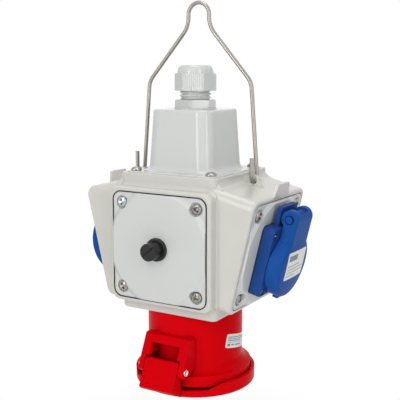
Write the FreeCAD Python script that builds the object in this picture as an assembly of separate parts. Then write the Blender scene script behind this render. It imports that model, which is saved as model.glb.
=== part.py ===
"""Hanging power distribution box: a moulded housing with four square bays, two tilted mains sockets,
a five-pole socket underneath, a cable gland on a tapered cap and a bent wire bail to hang it by.
Millimetres, +Z up, front cover towards -Y, origin at the middle of the bottom socket's closed lid."""
import FreeCAD
import Part
import math
import os

from FreeCAD import Placement, Rotation, Vector

# Housing core
core_half = 40.2
core_foot = 8.5
core_neck = 9.0
core_corner_r = 5.0
wall = 3.5
floor_t = 4.0
floor_opening_r = 19.0
cap_post_r = 5.5
cap_post_depth = 20.0

# Bays on the four sides, each closed by a plate
bay_over = 1.8
bay_rim = 2.9
bay_seat = 3.0
bay_corner_r = 7.0
bay_edge_r = 2.0
bay_blend_r = 1.5
bay_blend_root = 5.0
front_shoulder_r = 3.0
side_shoulder_r = 5.5
front_depth = 10.2
side_depth = 20.85
side_drop = 3.4
side_tilt = 13.5

# Plates, their gaskets and screws
plate_corner_r = 6.0
plate_t = 3.0
plate_gap = 0.7
gasket_t = 1.0
disc_over = 1.0
disc_slope = 3.5
disc_h = 2.0
disc_edge_r = 1.0
plate_screw_inset = 7.5
counterbore_r = 4.9
counterbore_depth = 1.2

# Machine screws, M4 for the box and M3 for the sockets
screw_r = 1.95
screw_head_r = 4.0
screw_head_h = 2.6
screw_grip = 8.0
small_screw_r = 1.45
small_head_r = 2.75
small_head_h = 1.8
thread_play = 0.05
hole_play = 0.3
head_round = 0.9
pilot_run = 1.0
tip_gap = 1.0

# Fins on the side bays and ears for the bail
fin_half = 13.3
fin_top_half = 8.7
fin_t = 2.2
fin_rise = 8.5
fin_corner_r = 1.5
ear_t = 3.0
ear_out = 9.0
ear_hole_r = 2.6
ear_rim = 1.6
ear_back_rise = 2.5
ear_foot_drop = 8.7
ear_foot_reach = 8.8

# Bail of round wire
bail_wire_r = 1.5
bail_seat_gap = 0.55
bail_over_bay = 2.76
bail_hook_y = 4.65
bail_hook_r = 4.6
bail_tip_rise = 17.1
bail_shoulder_in = 5.7
bail_shoulder_rise = 70.2
bail_shoulder_r = 14.0
bail_loop_r = 8.68
bail_loop_flat = 0.02
bail_neck_rise = 110.2
bail_neck_r = 18.0
bail_top_rise = 127.1

# Top cap with its tower
cap_inset = 2.9
cap_gap = 0.4
cap_corner_r = 5.0
cap_flange_t = 3.0
cap_sink = 2.2
cap_rest = 3.0
cap_rest_t = 4.0
cap_edge_r = 0.8
cap_gasket_t = 1.0
cap_screw_inset = 5.8
cap_ledge = 9.7
tower_taper = 2.5
tower_corner_r = 10.5
tower_height = 44.2
tower_wall = 3.0
tower_foot_fillet = 4.6
tower_top_fillet = 1.8

# Cable gland
gland_hex = 29.0
gland_turn = 43.2
gland_hex_h = 5.8
gland_washer_t = 1.0
gland_washer_r = 15.6
gland_thread_r = 12.3
gland_neck_r = 12.0
gland_neck_h = 14.5
gland_gap_h = 6.4
gland_bore_r = 9.2
gland_seat_r = 7.0
gland_seal_r = 6.5
gland_seal_h = 15.0
gland_foot = 10.0
locknut_hex = 30.0
locknut_h = 5.0
nut_turn = 22.9
nut_hex_h = 12.3
nut_dome_h = 6.1
nut_top_r = 10.4
nut_mouth_r = 8.0
nut_play = 0.3
nut_corner_drop = 1.5
nut_dome_inset = 0.6
nut_dome_lip = 0.8
nut_bulge = 1.2

# Fuse holder in the front cover
fuse_flange_r = 8.25
fuse_flange_t = 2.6
fuse_edge_r = 0.8
fuse_barrel_r = 6.0
fuse_barrel_in_r = 3.4
fuse_barrel_depth = 30.0
fuse_bottom_t = 2.0
fuse_cap_r = 6.25
fuse_cap_h = 9.4
fuse_cap_plug_r = 3.2
fuse_cap_plug_h = 3.0
fuse_slot_w = 1.1
fuse_slot_depth = 1.0
fuse_slot_turn = 40.0
fuse_notches = 4
fuse_notch_r = 0.8
fuse_notch_top = 2.4
fuse_notch_turn = 85.0
fuse_nut_hex = 17.0
fuse_nut_t = 4.0
fuse_washer_t = 1.0
fuse_glass_r = 2.3
fuse_ferrule_r = 2.6
fuse_ferrule_l = 5.0
fuse_ferrule_end = 0.6

# Mains sockets with hinged lids, measured from the bay's rim plane
socket_v = -5.0
socket_gasket_t = 0.8
base_edge_u = 4.7
base_edge_v = 4.0
base_over = 5.2
base_corner_r = 4.0
base_edge_r = 1.5
base_h = 8.2
upstand_over = 0.5
upstand_back = 2.0
upstand_h = 3.4
upstand_root = 2.0
upstand_corner_r = 2.0
recess_r = 19.75
recess_depth = 20.0
cup_wall = 1.9
cup_play = 0.6
collar_t = 1.25
collar_h = 2.0
socket_floor_t = 3.0
socket_screw_gap = 0.62
socket_screw_over = 3.6
socket_screw_sink = 2.4
contact_pitch = 19.0
contact_hole_r = 2.9
contact_r = 3.6
contact_bore_r = 2.45
contact_l = 13.0
contact_shell = 1.8
clip_w = 5.0
clip_t = 0.8
clip_l = 14.0
clip_bulge = 1.4
clip_bulge_rise = 10.0
clip_bend_rise = 5.6
clip_foot = 4.0
hinge_out = 11.9
hinge_rise = 12.4
hinge_barrel_r = 6.5
hinge_barrel_half = 13.0
hinge_pin_r = 2.0
hinge_pin_head_r = 3.1
hinge_pin_head_t = 0.7
hinge_play = 0.05
knuckle_r = 5.0
knuckle_in = 3.6
knuckle_out = 6.8
knuckle_web = 1.8
knuckle_cover = 1.2
lid_clear = 0.6
lid_wall = 1.9
lid_gap = 0.3
lid_side_h = 6.7
lid_shoulder_h = 3.7
lid_crown_h = 0.8
lid_flat_r = 4.0
lid_roof = 2.8
lid_seal_w = 3.6
lid_seal_play = 0.1
lid_neck_root = 9.5
lid_neck_hollow = 8.0
lid_neck_edge_r = 1.0
lid_lip_half = 8.0
lid_lip_out = 0.9
lid_lip_root = 9.0
lid_lip_t = 3.6
lid_lip_corner_r = 1.5
lid_slot_play = 0.4
lid_slot_back = 1.6
lid_slot_roof = 2.3

# Wound springs on the hinge pins
spring_wire = 0.7
spring_play = 0.3

# Five-pole socket under the box
cee_r = 36.0
cee_length = 52.0
cee_gasket_t = 1.0
cee_gasket_inset = 1.0
cee_wall = 3.5
cee_web_t = 6.0
cee_web_hole_r = 22.0
cee_mouth_z = 6.5
cee_ring_out = 6.5
cee_ring_h = 8.5
cee_ring_edge_r = 1.2
cee_flare_h = 5.5
cee_flare_hollow = 1.2
cee_screw_r = 29.0
cee_insert_gap = 4.7
cee_insert_mouth = 7.5
cee_insert_edge_r = 1.0
cee_contact_circle = 17.5
cee_contacts = 5
cee_contact_r = 3.1
cee_contact_bore_r = 2.45
cee_contact_l = 34.0
cee_key_w = 7.0
cee_key_depth = 1.6
cee_block_half = 19.3
cee_block_top = 42.8
cee_block_proud = 3.2
cee_block_slope = 25.5
cee_block_foot = 16.3
cee_block_toe = 2.6
cee_block_edge_r = 1.0
cee_window_half = 12.0
cee_window_low = 27.0
cee_window_high = 37.0
cee_cheek_t = 5.0
cee_tongue_top = 26.8
cee_tongue_low = 7.5
cee_heel_t = 2.4
cee_slot_play = 0.45
cee_slot_over = 1.4
cee_tongue_toe = 2.3
cee_root_gap = 0.4
cee_root_depth = 2.0
cee_pin_z = 20.6
cee_pin_inset = 3.6
cee_pin_r = 1.7
cee_pin_head_r = 2.5
cee_pin_head_t = 0.5
cee_knuckle_r = 4.2
cee_spring_half = 5.0
cee_collar_t = 2.4
cee_lid_t = 3.2
cee_lid_edge_r = 2.0
cee_collar_h = 6.8
cee_collar_play = 0.8
cee_collar_cut = 18.7
cee_collar_ramp = 8.0
cee_collar_left = 2.3
cee_seal_w = 6.0
cee_seal_inset = 5.0

# Terminal strip on the floor of the box
strip_half = 14.0
strip_back_gap = 2.7
strip_depth = 13.0
strip_h = 17.0
clamp_r = 2.2
clamp_h = 6.0
clamp_proud = 0.8

# Faces nearer than this count as level
level = 1e-4

# Widths and reaches that follow from the sizes above
bay_half = core_half + bay_over
plate_half = bay_half - bay_rim - plate_gap
plate_screw_half = plate_half - plate_screw_inset
disc_r = plate_half + disc_over
bay_bore_r = plate_half - bay_seat
cavity_half = core_half - wall
front_reach = core_half + front_depth
side_reach = core_half + side_depth
cap_half = core_half - cap_inset
cap_screw_half = cap_half - cap_screw_inset
tower_foot_half = cap_half - cap_ledge
tower_top_half = tower_foot_half - tower_taper
ear_x = core_half + ear_out
cee_ring_r = cee_r + cee_ring_out
cee_bore_r = cee_r - cee_wall
cee_insert_r = cee_bore_r - cee_insert_gap
cee_collar_in = cee_ring_r + cee_collar_play
cee_lid_r = cee_collar_in + cee_collar_t
cee_tongue_half = cee_block_half - cee_cheek_t
strip_y = cavity_half - strip_back_gap - strip_depth
bail_neck_x = bail_loop_r + bail_loop_flat

# Heights that follow, from the bottom lid up
cee_top = cee_mouth_z + cee_length
cee_web_z = cee_top - cee_web_t
core_bottom = cee_top + cee_gasket_t
core_height = core_foot + 2 * bay_half + core_neck
core_top = core_bottom + core_height
front_height = core_bottom + core_foot + bay_half
side_height = front_height - side_drop
cap_seat = core_top - cap_sink
cap_floor = cap_seat - cap_gasket_t
cap_top = cap_seat + cap_flange_t
tower_top = cap_top + tower_height
side_lean = math.radians(side_tilt)
side_top_x = side_reach + bay_half * math.sin(side_lean)
side_top_z = side_height + bay_half * math.cos(side_lean)
bail_pivot_z = side_top_z + (side_top_x - ear_x) * math.tan(side_lean) + bail_over_bay

# Mains socket sizes that follow, outwards from the bay's rim plane
recess_t = plate_t + gasket_t
lid_r = recess_r + collar_t + lid_clear + lid_wall
socket_screw_half = (lid_r + small_head_r + socket_screw_gap) / math.sqrt(2)
base_half_u = socket_screw_half + base_edge_u
base_half_v = socket_screw_half + base_edge_v
base_low = disc_h + socket_gasket_t
base_top = base_low + base_h
collar_top = base_top + collar_h
recess_floor = collar_top - recess_depth
cup_r = recess_r + cup_wall
lid_low = base_top + lid_gap
lid_top = lid_low + lid_side_h + lid_shoulder_h
hinge_v = socket_v + lid_r + hinge_out
hinge_w = base_low + hinge_rise
upstand_low = base_low + upstand_back
upstand_half = hinge_barrel_half + upstand_over
upstand_top = hinge_v + hinge_barrel_r


def cylinder(radius, length, base=Vector(0, 0, 0), axis=Vector(0, 0, 1)):
    return Part.makeCylinder(radius, length, base, axis)


def tube(outer_r, inner_r, length, base=Vector(0, 0, 0), axis=Vector(0, 0, 1)):
    return cylinder(outer_r, length, base, axis).cut(cylinder(inner_r, length, base, axis))


def block(low, high):
    size = high - low
    return Part.makeBox(size.x, size.y, size.z, low)


def rounded_prism(half_x, half_y, corner_r, thickness, low=0.0, centre_y=0.0):
    prism = block(Vector(-half_x, centre_y - half_y, low),
                  Vector(half_x, centre_y + half_y, low + thickness))
    upright = [edge for edge in prism.Edges if edge.BoundBox.ZLength > thickness / 2]
    return prism.makeFillet(corner_r, upright)


def level_edges(shape, height):
    return [edge for edge in shape.Edges
            if max(abs(edge.BoundBox.ZMin - height), abs(edge.BoundBox.ZMax - height)) < level]


def soft_rim(shape, radius, height):
    """Rounds the outer edges of the flat face that lies at this height."""
    return shape.makeFillet(radius, level_edges(shape, height))


def corners(half, centre_y=0.0):
    return [Vector(sx * half, centre_y + sy * half, 0) for sx in (-1, 1) for sy in (-1, 1)]


def copies(shape, places):
    return [shape.translated(place) for place in places]


def hexagon(across_flats, height, low, turn=0.0):
    corner = across_flats / math.sqrt(3)
    angles = [math.radians(60 * k + turn) for k in range(7)]
    points = [Vector(corner * math.cos(angle), corner * math.sin(angle), low) for angle in angles]
    return Part.Face(Part.makePolygon(points)).extrude(Vector(0, 0, height))


def profile_along_x(points, half):
    """Solid with this outline in the YZ plane, as wide as half to each side."""
    outline = [Vector(-half, y, z) for y, z in points]
    return Part.Face(Part.makePolygon(outline + outline[:1])).extrude(Vector(2 * half, 0, 0))


def cross_bar(radius, low_x, high_x, y, z):
    return cylinder(radius, high_x - low_x, Vector(low_x, y, z), Vector(1, 0, 0))


def pan_screw(radius, length, head_r, head_h):
    """Screw along Z with the underside of its head at zero."""
    head = soft_rim(cylinder(head_r, head_h), head_round, head_h)
    return head.fuse(cylinder(radius, length, Vector(0, 0, -length)))


def wound_spring(pin_r, wire, half, y, z):
    """Close-wound coil round a pin along X, its turns side by side."""
    inner_r = pin_r + spring_play
    turns = int(2 * half / wire)
    pitch = 2 * half / turns
    edges = []
    for turn in range(turns):
        start = -half + turn * pitch
        middle = Vector(start + pitch / 2, inner_r + wire, 0)
        edges.append(Part.Arc(Vector(start, inner_r + wire / 2, 0), middle,
                              Vector(start + pitch, inner_r + wire / 2, 0)).toShape())
    rim = [Vector(half, inner_r + wire / 2, 0), Vector(half, inner_r, 0), Vector(-half, inner_r, 0),
           Vector(-half, inner_r + wire / 2, 0)]
    edges += [Part.makeLine(rim[k], rim[k + 1]) for k in range(3)]
    coil = Part.Face(Part.Wire(Part.__sortEdges__(edges))).revolve(Vector(0, 0, 0), Vector(1, 0, 0), 360)
    return coil.translated(Vector(0, y, z))


def panel_frame(azimuth, tilt, reach, height):
    """Frame of a bay: X along the rim, Y up the panel and Z outwards, with zero at the rim plane."""
    turn = Rotation(Vector(0, 0, 1), azimuth)
    lean = Rotation(Vector(1, 0, 0), 90 + tilt)
    return Placement(turn.multVec(Vector(0, -reach, height)), turn.multiply(lean))


def placed(shape, frame):
    moved = shape.copy()
    moved.Placement = frame.multiply(moved.Placement)
    return moved


bays = {
    "front": panel_frame(0, 0, front_reach, front_height),
    "right": panel_frame(90, side_tilt, side_reach, side_height),
    "rear": panel_frame(180, 0, front_reach, front_height),
    "left": panel_frame(270, side_tilt, side_reach, side_height),
}
bay_tilts = {"front": 0, "right": side_tilt, "rear": 0, "left": side_tilt}
bay_reaches = {"front": front_reach, "right": side_reach, "rear": front_reach, "left": side_reach}


def depth_to(side, half_height, target):
    """How far a bay's straight wall runs inwards, from its rim, to pass a plane of the core."""
    tilt = math.radians(bay_tilts[side])
    return (bay_reaches[side] + half_height * math.sin(tilt) - target) / math.cos(tilt)


def bay_shell(side):
    depth = depth_to(side, bay_half, core_half) + wall
    shell = rounded_prism(bay_half, bay_half, bay_corner_r, depth, -depth)
    return placed(soft_rim(shell, bay_edge_r, 0), bays[side])


def hollow_bar(corner, way_a, way_b, radius, run):
    """Bar that fills the inner corner of two walls with a hollow round and roots in both walls."""
    half_angle = way_a.getAngle(way_b) / 2
    reach = radius / math.tan(half_angle)
    middle = corner + (way_a + way_b).normalize() * (radius / math.sin(half_angle) - radius)
    start = corner + way_a * reach
    end = corner + way_b * reach
    root_a = way_a * bay_blend_root
    root_b = way_b * bay_blend_root
    rooted = [end, end - root_a, corner - root_a - root_b, start - root_b, start]
    edges = [Part.Arc(start, middle, end).toShape()]
    edges += [Part.makeLine(rooted[k], rooted[k + 1]) for k in range(4)]
    return Part.Face(Part.Wire(edges)).extrude(run)


def bay_shoulder(side, sign):
    """Hollow round between a bay's top (sign 1) or underside (sign -1) and the core, run out at its ends."""
    tilt = math.radians(bay_tilts[side])
    depth = depth_to(side, sign * bay_half, core_half)
    up_wall = Vector(0, sign * math.cos(tilt), -sign * math.sin(tilt))
    radius = side_shoulder_r if bay_tilts[side] and sign > 0 else front_shoulder_r
    bar = hollow_bar(Vector(-core_half, sign * bay_half, -depth), up_wall, Vector(0, 0, 1), radius,
                     Vector(2 * core_half, 0, 0))
    nose = rounded_prism(core_half, bay_half + radius, bay_corner_r + radius, 2 * depth, -2 * depth)
    return placed(bar.common(nose), bays[side])


def bay_blend(sign_x, sign_y):
    """Hollow round in the upright corner between two bays, tapered off where the bays round away."""
    grown = bay_half + bay_blend_r
    bar = hollow_bar(Vector(sign_x * bay_half, sign_y * bay_half, core_bottom), Vector(sign_x, 0, 0),
                     Vector(0, sign_y, 0), bay_blend_r, Vector(0, 0, core_height))
    for side in ("front" if sign_y < 0 else "rear", "right" if sign_x > 0 else "left"):
        depth = bay_reaches[side]
        limit = rounded_prism(grown, grown, bay_corner_r + bay_blend_r, depth, -depth)
        bar = bar.common(placed(limit, bays[side]))
    return bar


def bay_opening(side):
    depth = depth_to(side, bay_bore_r, cavity_half) + wall
    seat = rounded_prism(plate_half + plate_gap, plate_half + plate_gap, plate_corner_r + plate_gap,
                         recess_t, -recess_t)
    bore = cylinder(bay_bore_r, depth, Vector(0, 0, -depth))
    hole_l = screw_grip + pilot_run
    pilot = cylinder(screw_r + thread_play, hole_l, Vector(0, 0, -recess_t - hole_l))
    pilots = copies(pilot, corners(plate_screw_half))
    return placed(seat.fuse([bore] + pilots), bays[side])


def bay_fin(side):
    """Upright fin on the outer top edge of a side bay, in line with its rim."""
    height = fin_rise + wall
    outline = [(-fin_half, 0), (fin_half, 0), (fin_top_half, height), (-fin_top_half, height)]
    points = [Vector(x, bay_half - wall + y, -fin_t) for x, y in outline]
    fin = Part.Face(Part.makePolygon(points + points[:1])).extrude(Vector(0, 0, fin_t))
    top = [edge for edge in fin.Edges
           if edge.BoundBox.YMin > bay_half and edge.BoundBox.ZLength > fin_t / 2]
    return placed(fin.makeFillet(fin_corner_r, top), bays[side])


def bail_ear(sign):
    """Gusset beside the core with the hole that the bail's hook runs through."""
    hole_z = bail_pivot_z + ear_hole_r - bail_wire_r - bail_seat_gap
    ear_r = ear_hole_r + ear_rim
    foot_z = hole_z - ear_foot_drop
    root_x = core_half - wall / 2
    outline = [(root_x, foot_z), (root_x, hole_z + ear_back_rise), (ear_x, hole_z + ear_r),
               (ear_x + ear_r, hole_z), (ear_x + ear_foot_reach, foot_z)]
    points = [Vector(sign * x, -ear_t / 2, z) for x, z in outline]
    web = Part.Face(Part.makePolygon(points + points[:1])).extrude(Vector(0, ear_t, 0))
    eye = cylinder(ear_r, ear_t, Vector(sign * ear_x, -ear_t / 2, hole_z), Vector(0, 1, 0))
    hole = cylinder(ear_hole_r, ear_t, Vector(sign * ear_x, -ear_t / 2, hole_z), Vector(0, 1, 0))
    return web.fuse(eye), hole


def housing():
    core = rounded_prism(core_half, core_half, core_corner_r, core_height, core_bottom)
    shell = soft_rim(soft_rim(core, bay_edge_r, core_bottom), cap_edge_r, core_top)
    blends = [bay_blend(sign_x, sign_y) for sign_x in (-1, 1) for sign_y in (-1, 1)]
    blends += [bay_shoulder(side, sign) for side in bays for sign in (-1, 1)]
    shell = shell.fuse([bay_shell(side) for side in bays] + blends).removeSplitter()
    ears = [bail_ear(sign) for sign in (-1, 1)]
    shell = shell.fuse([bay_fin("left"), bay_fin("right")] + [ear for ear, hole in ears])
    cavity_low = core_bottom + floor_t
    rest_low = cap_floor - cap_rest_t
    inner_r = core_corner_r - wall / 2
    cavity = rounded_prism(cavity_half, cavity_half, inner_r, rest_low - cavity_low, cavity_low)
    mouth_half = cap_half - cap_rest
    cavity = cavity.fuse(rounded_prism(mouth_half, mouth_half, inner_r, cap_rest_t, rest_low))
    post = cylinder(cap_post_r, cap_post_depth, Vector(0, 0, core_top - cap_post_depth))
    cavity = cavity.cut(Part.makeCompound(copies(post, corners(cap_screw_half))))
    seat_half = cap_half + cap_gap
    seat = rounded_prism(seat_half, seat_half, cap_corner_r + cap_gap, core_top - cap_floor, cap_floor)
    hole_l = screw_grip + pilot_run
    pilot = cylinder(screw_r + thread_play, hole_l, Vector(0, 0, cap_floor - hole_l))
    cee_hole = cylinder(screw_r + hole_play, floor_t, Vector(0, 0, core_bottom))
    opening = cylinder(floor_opening_r, floor_t, Vector(0, 0, core_bottom))
    cuts = [cavity, seat, opening] + [bay_opening(side) for side in bays] + [hole for ear, hole in ears]
    cuts += copies(pilot, corners(cap_screw_half)) + copies(cee_hole, cee_screw_places())
    for cut in cuts:
        shell = shell.cut(cut)
    return shell.removeSplitter()


def cover_plate():
    """Square plate, flush with the rim at its screws, with a raised field that slopes off at the corners."""
    plate = rounded_prism(plate_half, plate_half, plate_corner_r, plate_t + disc_h, -plate_t)
    plate = soft_rim(plate, disc_edge_r, disc_h)
    past = plate_half + plate_gap
    sheet = block(Vector(-past, -past, -plate_t), Vector(past, past, 0))
    field = Part.makeCone(disc_r + disc_slope, disc_r, disc_h)
    plate = plate.common(sheet.fuse(field)).removeSplitter()
    hole = cylinder(screw_r + hole_play, plate_t, Vector(0, 0, -plate_t))
    seat = cylinder(counterbore_r, counterbore_depth + disc_h, Vector(0, 0, -counterbore_depth))
    return plate.cut(Part.makeCompound(copies(hole.fuse(seat), corners(plate_screw_half))))


def fuse_cover():
    hole = cylinder(fuse_barrel_r + hole_play, plate_t + disc_h, Vector(0, 0, -plate_t))
    return cover_plate().cut(hole)


def socket_screw_places():
    """Four places round a mains socket, the upper two moved up beside the hinge."""
    low = socket_v - socket_screw_half
    high = socket_v + socket_screw_half + socket_screw_over
    return [Vector(side * socket_screw_half, v, 0) for side in (-1, 1) for v in (low, high)]


def socket_plate():
    cup_hole = cylinder(cup_r + cup_play, plate_t + disc_h, Vector(0, socket_v, -plate_t))
    pilot = cylinder(small_screw_r + thread_play, plate_t + disc_h, Vector(0, 0, -plate_t))
    pilots = copies(pilot, socket_screw_places())
    return cover_plate().cut(Part.makeCompound([cup_hole] + pilots))


def plate_gasket():
    sheet = rounded_prism(plate_half, plate_half, plate_corner_r, gasket_t, -recess_t)
    hole = cylinder(screw_r + hole_play, gasket_t, Vector(0, 0, -recess_t))
    bore = cylinder(bay_bore_r, gasket_t, Vector(0, 0, -recess_t))
    return sheet.cut(Part.makeCompound([bore] + copies(hole, corners(plate_screw_half))))


def plate_screws():
    length = recess_t - counterbore_depth + screw_grip
    screw = pan_screw(screw_r, length, screw_head_r, screw_head_h)
    screw = screw.translated(Vector(0, 0, -counterbore_depth))
    return Part.makeCompound(copies(screw, corners(plate_screw_half)))


def square_section(half, height):
    faces = rounded_prism(half, half, tower_corner_r, tower_wall, height).Faces
    return min(faces, key=lambda face: face.CenterOfMass.z).OuterWire


def top_cap():
    """Flange let into the housing's rim, with a tapered, hollow tower that carries the cable gland."""
    flange = rounded_prism(cap_half, cap_half, cap_corner_r, cap_flange_t, cap_seat)
    flange = soft_rim(flange, cap_edge_r, cap_top)
    sections = [square_section(tower_foot_half, cap_seat), square_section(tower_top_half, tower_top)]
    cap = flange.fuse(Part.makeLoft(sections, True)).removeSplitter()
    foot = [edge for edge in level_edges(cap, cap_top)
            if max(abs(edge.CenterOfMass.x), abs(edge.CenterOfMass.y)) < tower_foot_half + level]
    cap = soft_rim(cap.makeFillet(tower_foot_fillet, foot), tower_top_fillet, tower_top)
    roof = tower_top - tower_wall
    hollow = Part.makeLoft([square_section(tower_foot_half - tower_wall, cap_seat),
                            square_section(tower_top_half - tower_wall, roof)], True)
    cuts = [hollow, cylinder(gland_thread_r + hole_play, tower_wall, Vector(0, 0, roof))]
    hole = cylinder(screw_r + hole_play, cap_flange_t, Vector(0, 0, cap_seat))
    cuts += copies(hole, corners(cap_screw_half))
    for cut in cuts:
        cap = cap.cut(cut)
    return cap


def cap_gasket():
    sheet = rounded_prism(cap_half, cap_half, cap_corner_r, cap_gasket_t, cap_floor)
    inner = tower_foot_half - tower_wall
    opening = rounded_prism(inner, inner, tower_corner_r, cap_gasket_t, cap_floor)
    hole = cylinder(screw_r + hole_play, cap_gasket_t, Vector(0, 0, cap_floor))
    return sheet.cut(Part.makeCompound([opening] + copies(hole, corners(cap_screw_half))))


def cap_screws():
    length = cap_flange_t + cap_gasket_t + screw_grip
    screw = pan_screw(screw_r, length, screw_head_r, screw_head_h)
    return Part.makeCompound(copies(screw.translated(Vector(0, 0, cap_top)), corners(cap_screw_half)))


gland_seat = tower_top + gland_washer_t
gland_hex_top = gland_seat + gland_hex_h
nut_low = gland_hex_top + gland_gap_h
nut_shoulder = nut_low + nut_hex_h
nut_top = nut_shoulder + nut_dome_h
gland_top = gland_hex_top + gland_neck_h
seal_low = gland_top - gland_seal_h + nut_dome_h / 2


def gland_body():
    """Hexagon with a threaded foot through the cap's roof and a threaded neck for the dome nut."""
    foot_low = tower_top - tower_wall - gland_foot
    foot = cylinder(gland_thread_r, gland_seat - foot_low, Vector(0, 0, foot_low))
    neck = cylinder(gland_neck_r, gland_neck_h, Vector(0, 0, gland_hex_top))
    body = hexagon(gland_hex, gland_hex_h, gland_seat, gland_turn).fuse([foot, neck])
    passage = cylinder(gland_seat_r, gland_top - foot_low, Vector(0, 0, foot_low))
    pocket = cylinder(gland_bore_r, gland_top - seal_low, Vector(0, 0, seal_low))
    return body.cut(passage).cut(pocket)


def gland_washer():
    return tube(gland_washer_r, gland_thread_r + hole_play, gland_washer_t, Vector(0, 0, tower_top))


def gland_locknut():
    low = tower_top - tower_wall - locknut_h
    bore = cylinder(gland_thread_r + thread_play, locknut_h, Vector(0, 0, low))
    return hexagon(locknut_hex, locknut_h, low).cut(bore)


def gland_seal():
    return tube(gland_bore_r - hole_play / 2, gland_seal_r, gland_seal_h, Vector(0, 0, seal_low))


def gland_dome_nut():
    """Hexagon nut whose top is drawn in to a dome round the cable."""
    outer_r = gland_hex / 2
    corner_r = gland_hex / math.sqrt(3)
    body = hexagon(gland_hex, nut_hex_h + nut_dome_h, nut_low, nut_turn)
    points = [Vector(0, 0, nut_low), Vector(corner_r, 0, nut_low),
              Vector(corner_r, 0, nut_shoulder - nut_corner_drop),
              Vector(outer_r - nut_dome_inset, 0, nut_shoulder + nut_dome_lip),
              Vector(nut_top_r, 0, nut_top), Vector(0, 0, nut_top)]
    edges = [Part.makeLine(points[k], points[k + 1]) for k in (0, 1, 2, 4)]
    bulge = (points[3] + points[4]) / 2 + Vector(1, 0, 1).normalize() * nut_bulge
    edges.append(Part.Arc(points[3], bulge, points[4]).toShape())
    edges.append(Part.makeLine(points[5], points[0]))
    turned = Part.Face(Part.Wire(Part.__sortEdges__(edges))).revolve(Vector(0, 0, 0), Vector(0, 0, 1), 360)
    bore_h = gland_top - nut_low + nut_play
    bore = cylinder(gland_neck_r + nut_play, bore_h, Vector(0, 0, nut_low))
    mouth = cylinder(nut_mouth_r, nut_top - nut_low, Vector(0, 0, nut_low))
    room_h = seal_low + gland_seal_h + nut_play - nut_low
    room = cylinder(gland_bore_r + nut_play, room_h, Vector(0, 0, nut_low))
    return body.common(turned).cut(bore.fuse([mouth, room]))


fuse_front = disc_h + fuse_flange_t
fuse_back = disc_h - fuse_barrel_depth
fuse_seat = fuse_back + fuse_bottom_t


def fuse_holder():
    """Round flange on the cover with a barrel that takes the fuse link behind it."""
    flange = soft_rim(cylinder(fuse_flange_r, fuse_flange_t, Vector(0, 0, disc_h)), fuse_edge_r, fuse_front)
    barrel = cylinder(fuse_barrel_r, fuse_barrel_depth, Vector(0, 0, fuse_back))
    bore = cylinder(fuse_barrel_in_r, fuse_front - fuse_seat, Vector(0, 0, fuse_seat))
    return flange.fuse(barrel).cut(bore)


def fuse_holder_washer():
    low = -plate_t - fuse_washer_t
    return tube(fuse_nut_hex / 2, fuse_barrel_r + hole_play, fuse_washer_t, Vector(0, 0, low))


def fuse_holder_nut():
    low = -plate_t - fuse_washer_t - fuse_nut_t
    bore = cylinder(fuse_barrel_r + thread_play, fuse_nut_t, Vector(0, 0, low))
    return hexagon(fuse_nut_hex, fuse_nut_t, low).cut(bore)


cap_low = fuse_front + hole_play
fuse_end = cap_low - fuse_cap_plug_h - hole_play


def fuse_cap():
    """Slotted bayonet cap with grip notches and a short plug that enters the barrel."""
    top = cap_low + fuse_cap_h
    cap = soft_rim(cylinder(fuse_cap_r, fuse_cap_h, Vector(0, 0, cap_low)), fuse_edge_r, top)
    plug = cylinder(fuse_cap_plug_r, fuse_cap_plug_h, Vector(0, 0, cap_low - fuse_cap_plug_h))
    slot = block(Vector(-fuse_cap_r, -fuse_slot_w / 2, top - fuse_slot_depth),
                 Vector(fuse_cap_r, fuse_slot_w / 2, top))
    slot.rotate(Vector(0, 0, 0), Vector(0, 0, 1), fuse_slot_turn)
    cuts = [slot]
    for k in range(fuse_notches):
        angle = math.radians(360 / fuse_notches * k + fuse_notch_turn)
        spot = Vector(fuse_cap_r * math.cos(angle), fuse_cap_r * math.sin(angle), cap_low)
        cuts.append(cylinder(fuse_notch_r, fuse_cap_h - fuse_notch_top, spot))
    return cap.fuse(plug).cut(Part.makeCompound(cuts))


def fuse_link():
    return cylinder(fuse_glass_r, fuse_end - fuse_seat - 2 * fuse_ferrule_end,
                    Vector(0, 0, fuse_seat + fuse_ferrule_end))


def fuse_ferrules():
    bore = fuse_glass_r + thread_play
    rear = cylinder(fuse_ferrule_r, fuse_ferrule_l, Vector(0, 0, fuse_seat))
    rear = rear.cut(cylinder(bore, fuse_ferrule_l, Vector(0, 0, fuse_seat + fuse_ferrule_end)))
    front = cylinder(fuse_ferrule_r, fuse_ferrule_l, Vector(0, 0, fuse_end - fuse_ferrule_l))
    front_low = fuse_end - fuse_ferrule_l - fuse_ferrule_end
    front = front.cut(cylinder(bore, fuse_ferrule_l, Vector(0, 0, front_low)))
    return Part.makeCompound([rear, front])


def contact_places():
    return [Vector(side * contact_pitch / 2, socket_v, 0) for side in (-1, 1)]


def base_outline(thickness, low):
    """Plan of a mains socket's flange, longer above the lid than below it."""
    return rounded_prism(base_half_u, base_half_v + base_over / 2, base_corner_r, thickness, low,
                         socket_v + base_over / 2)


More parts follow.
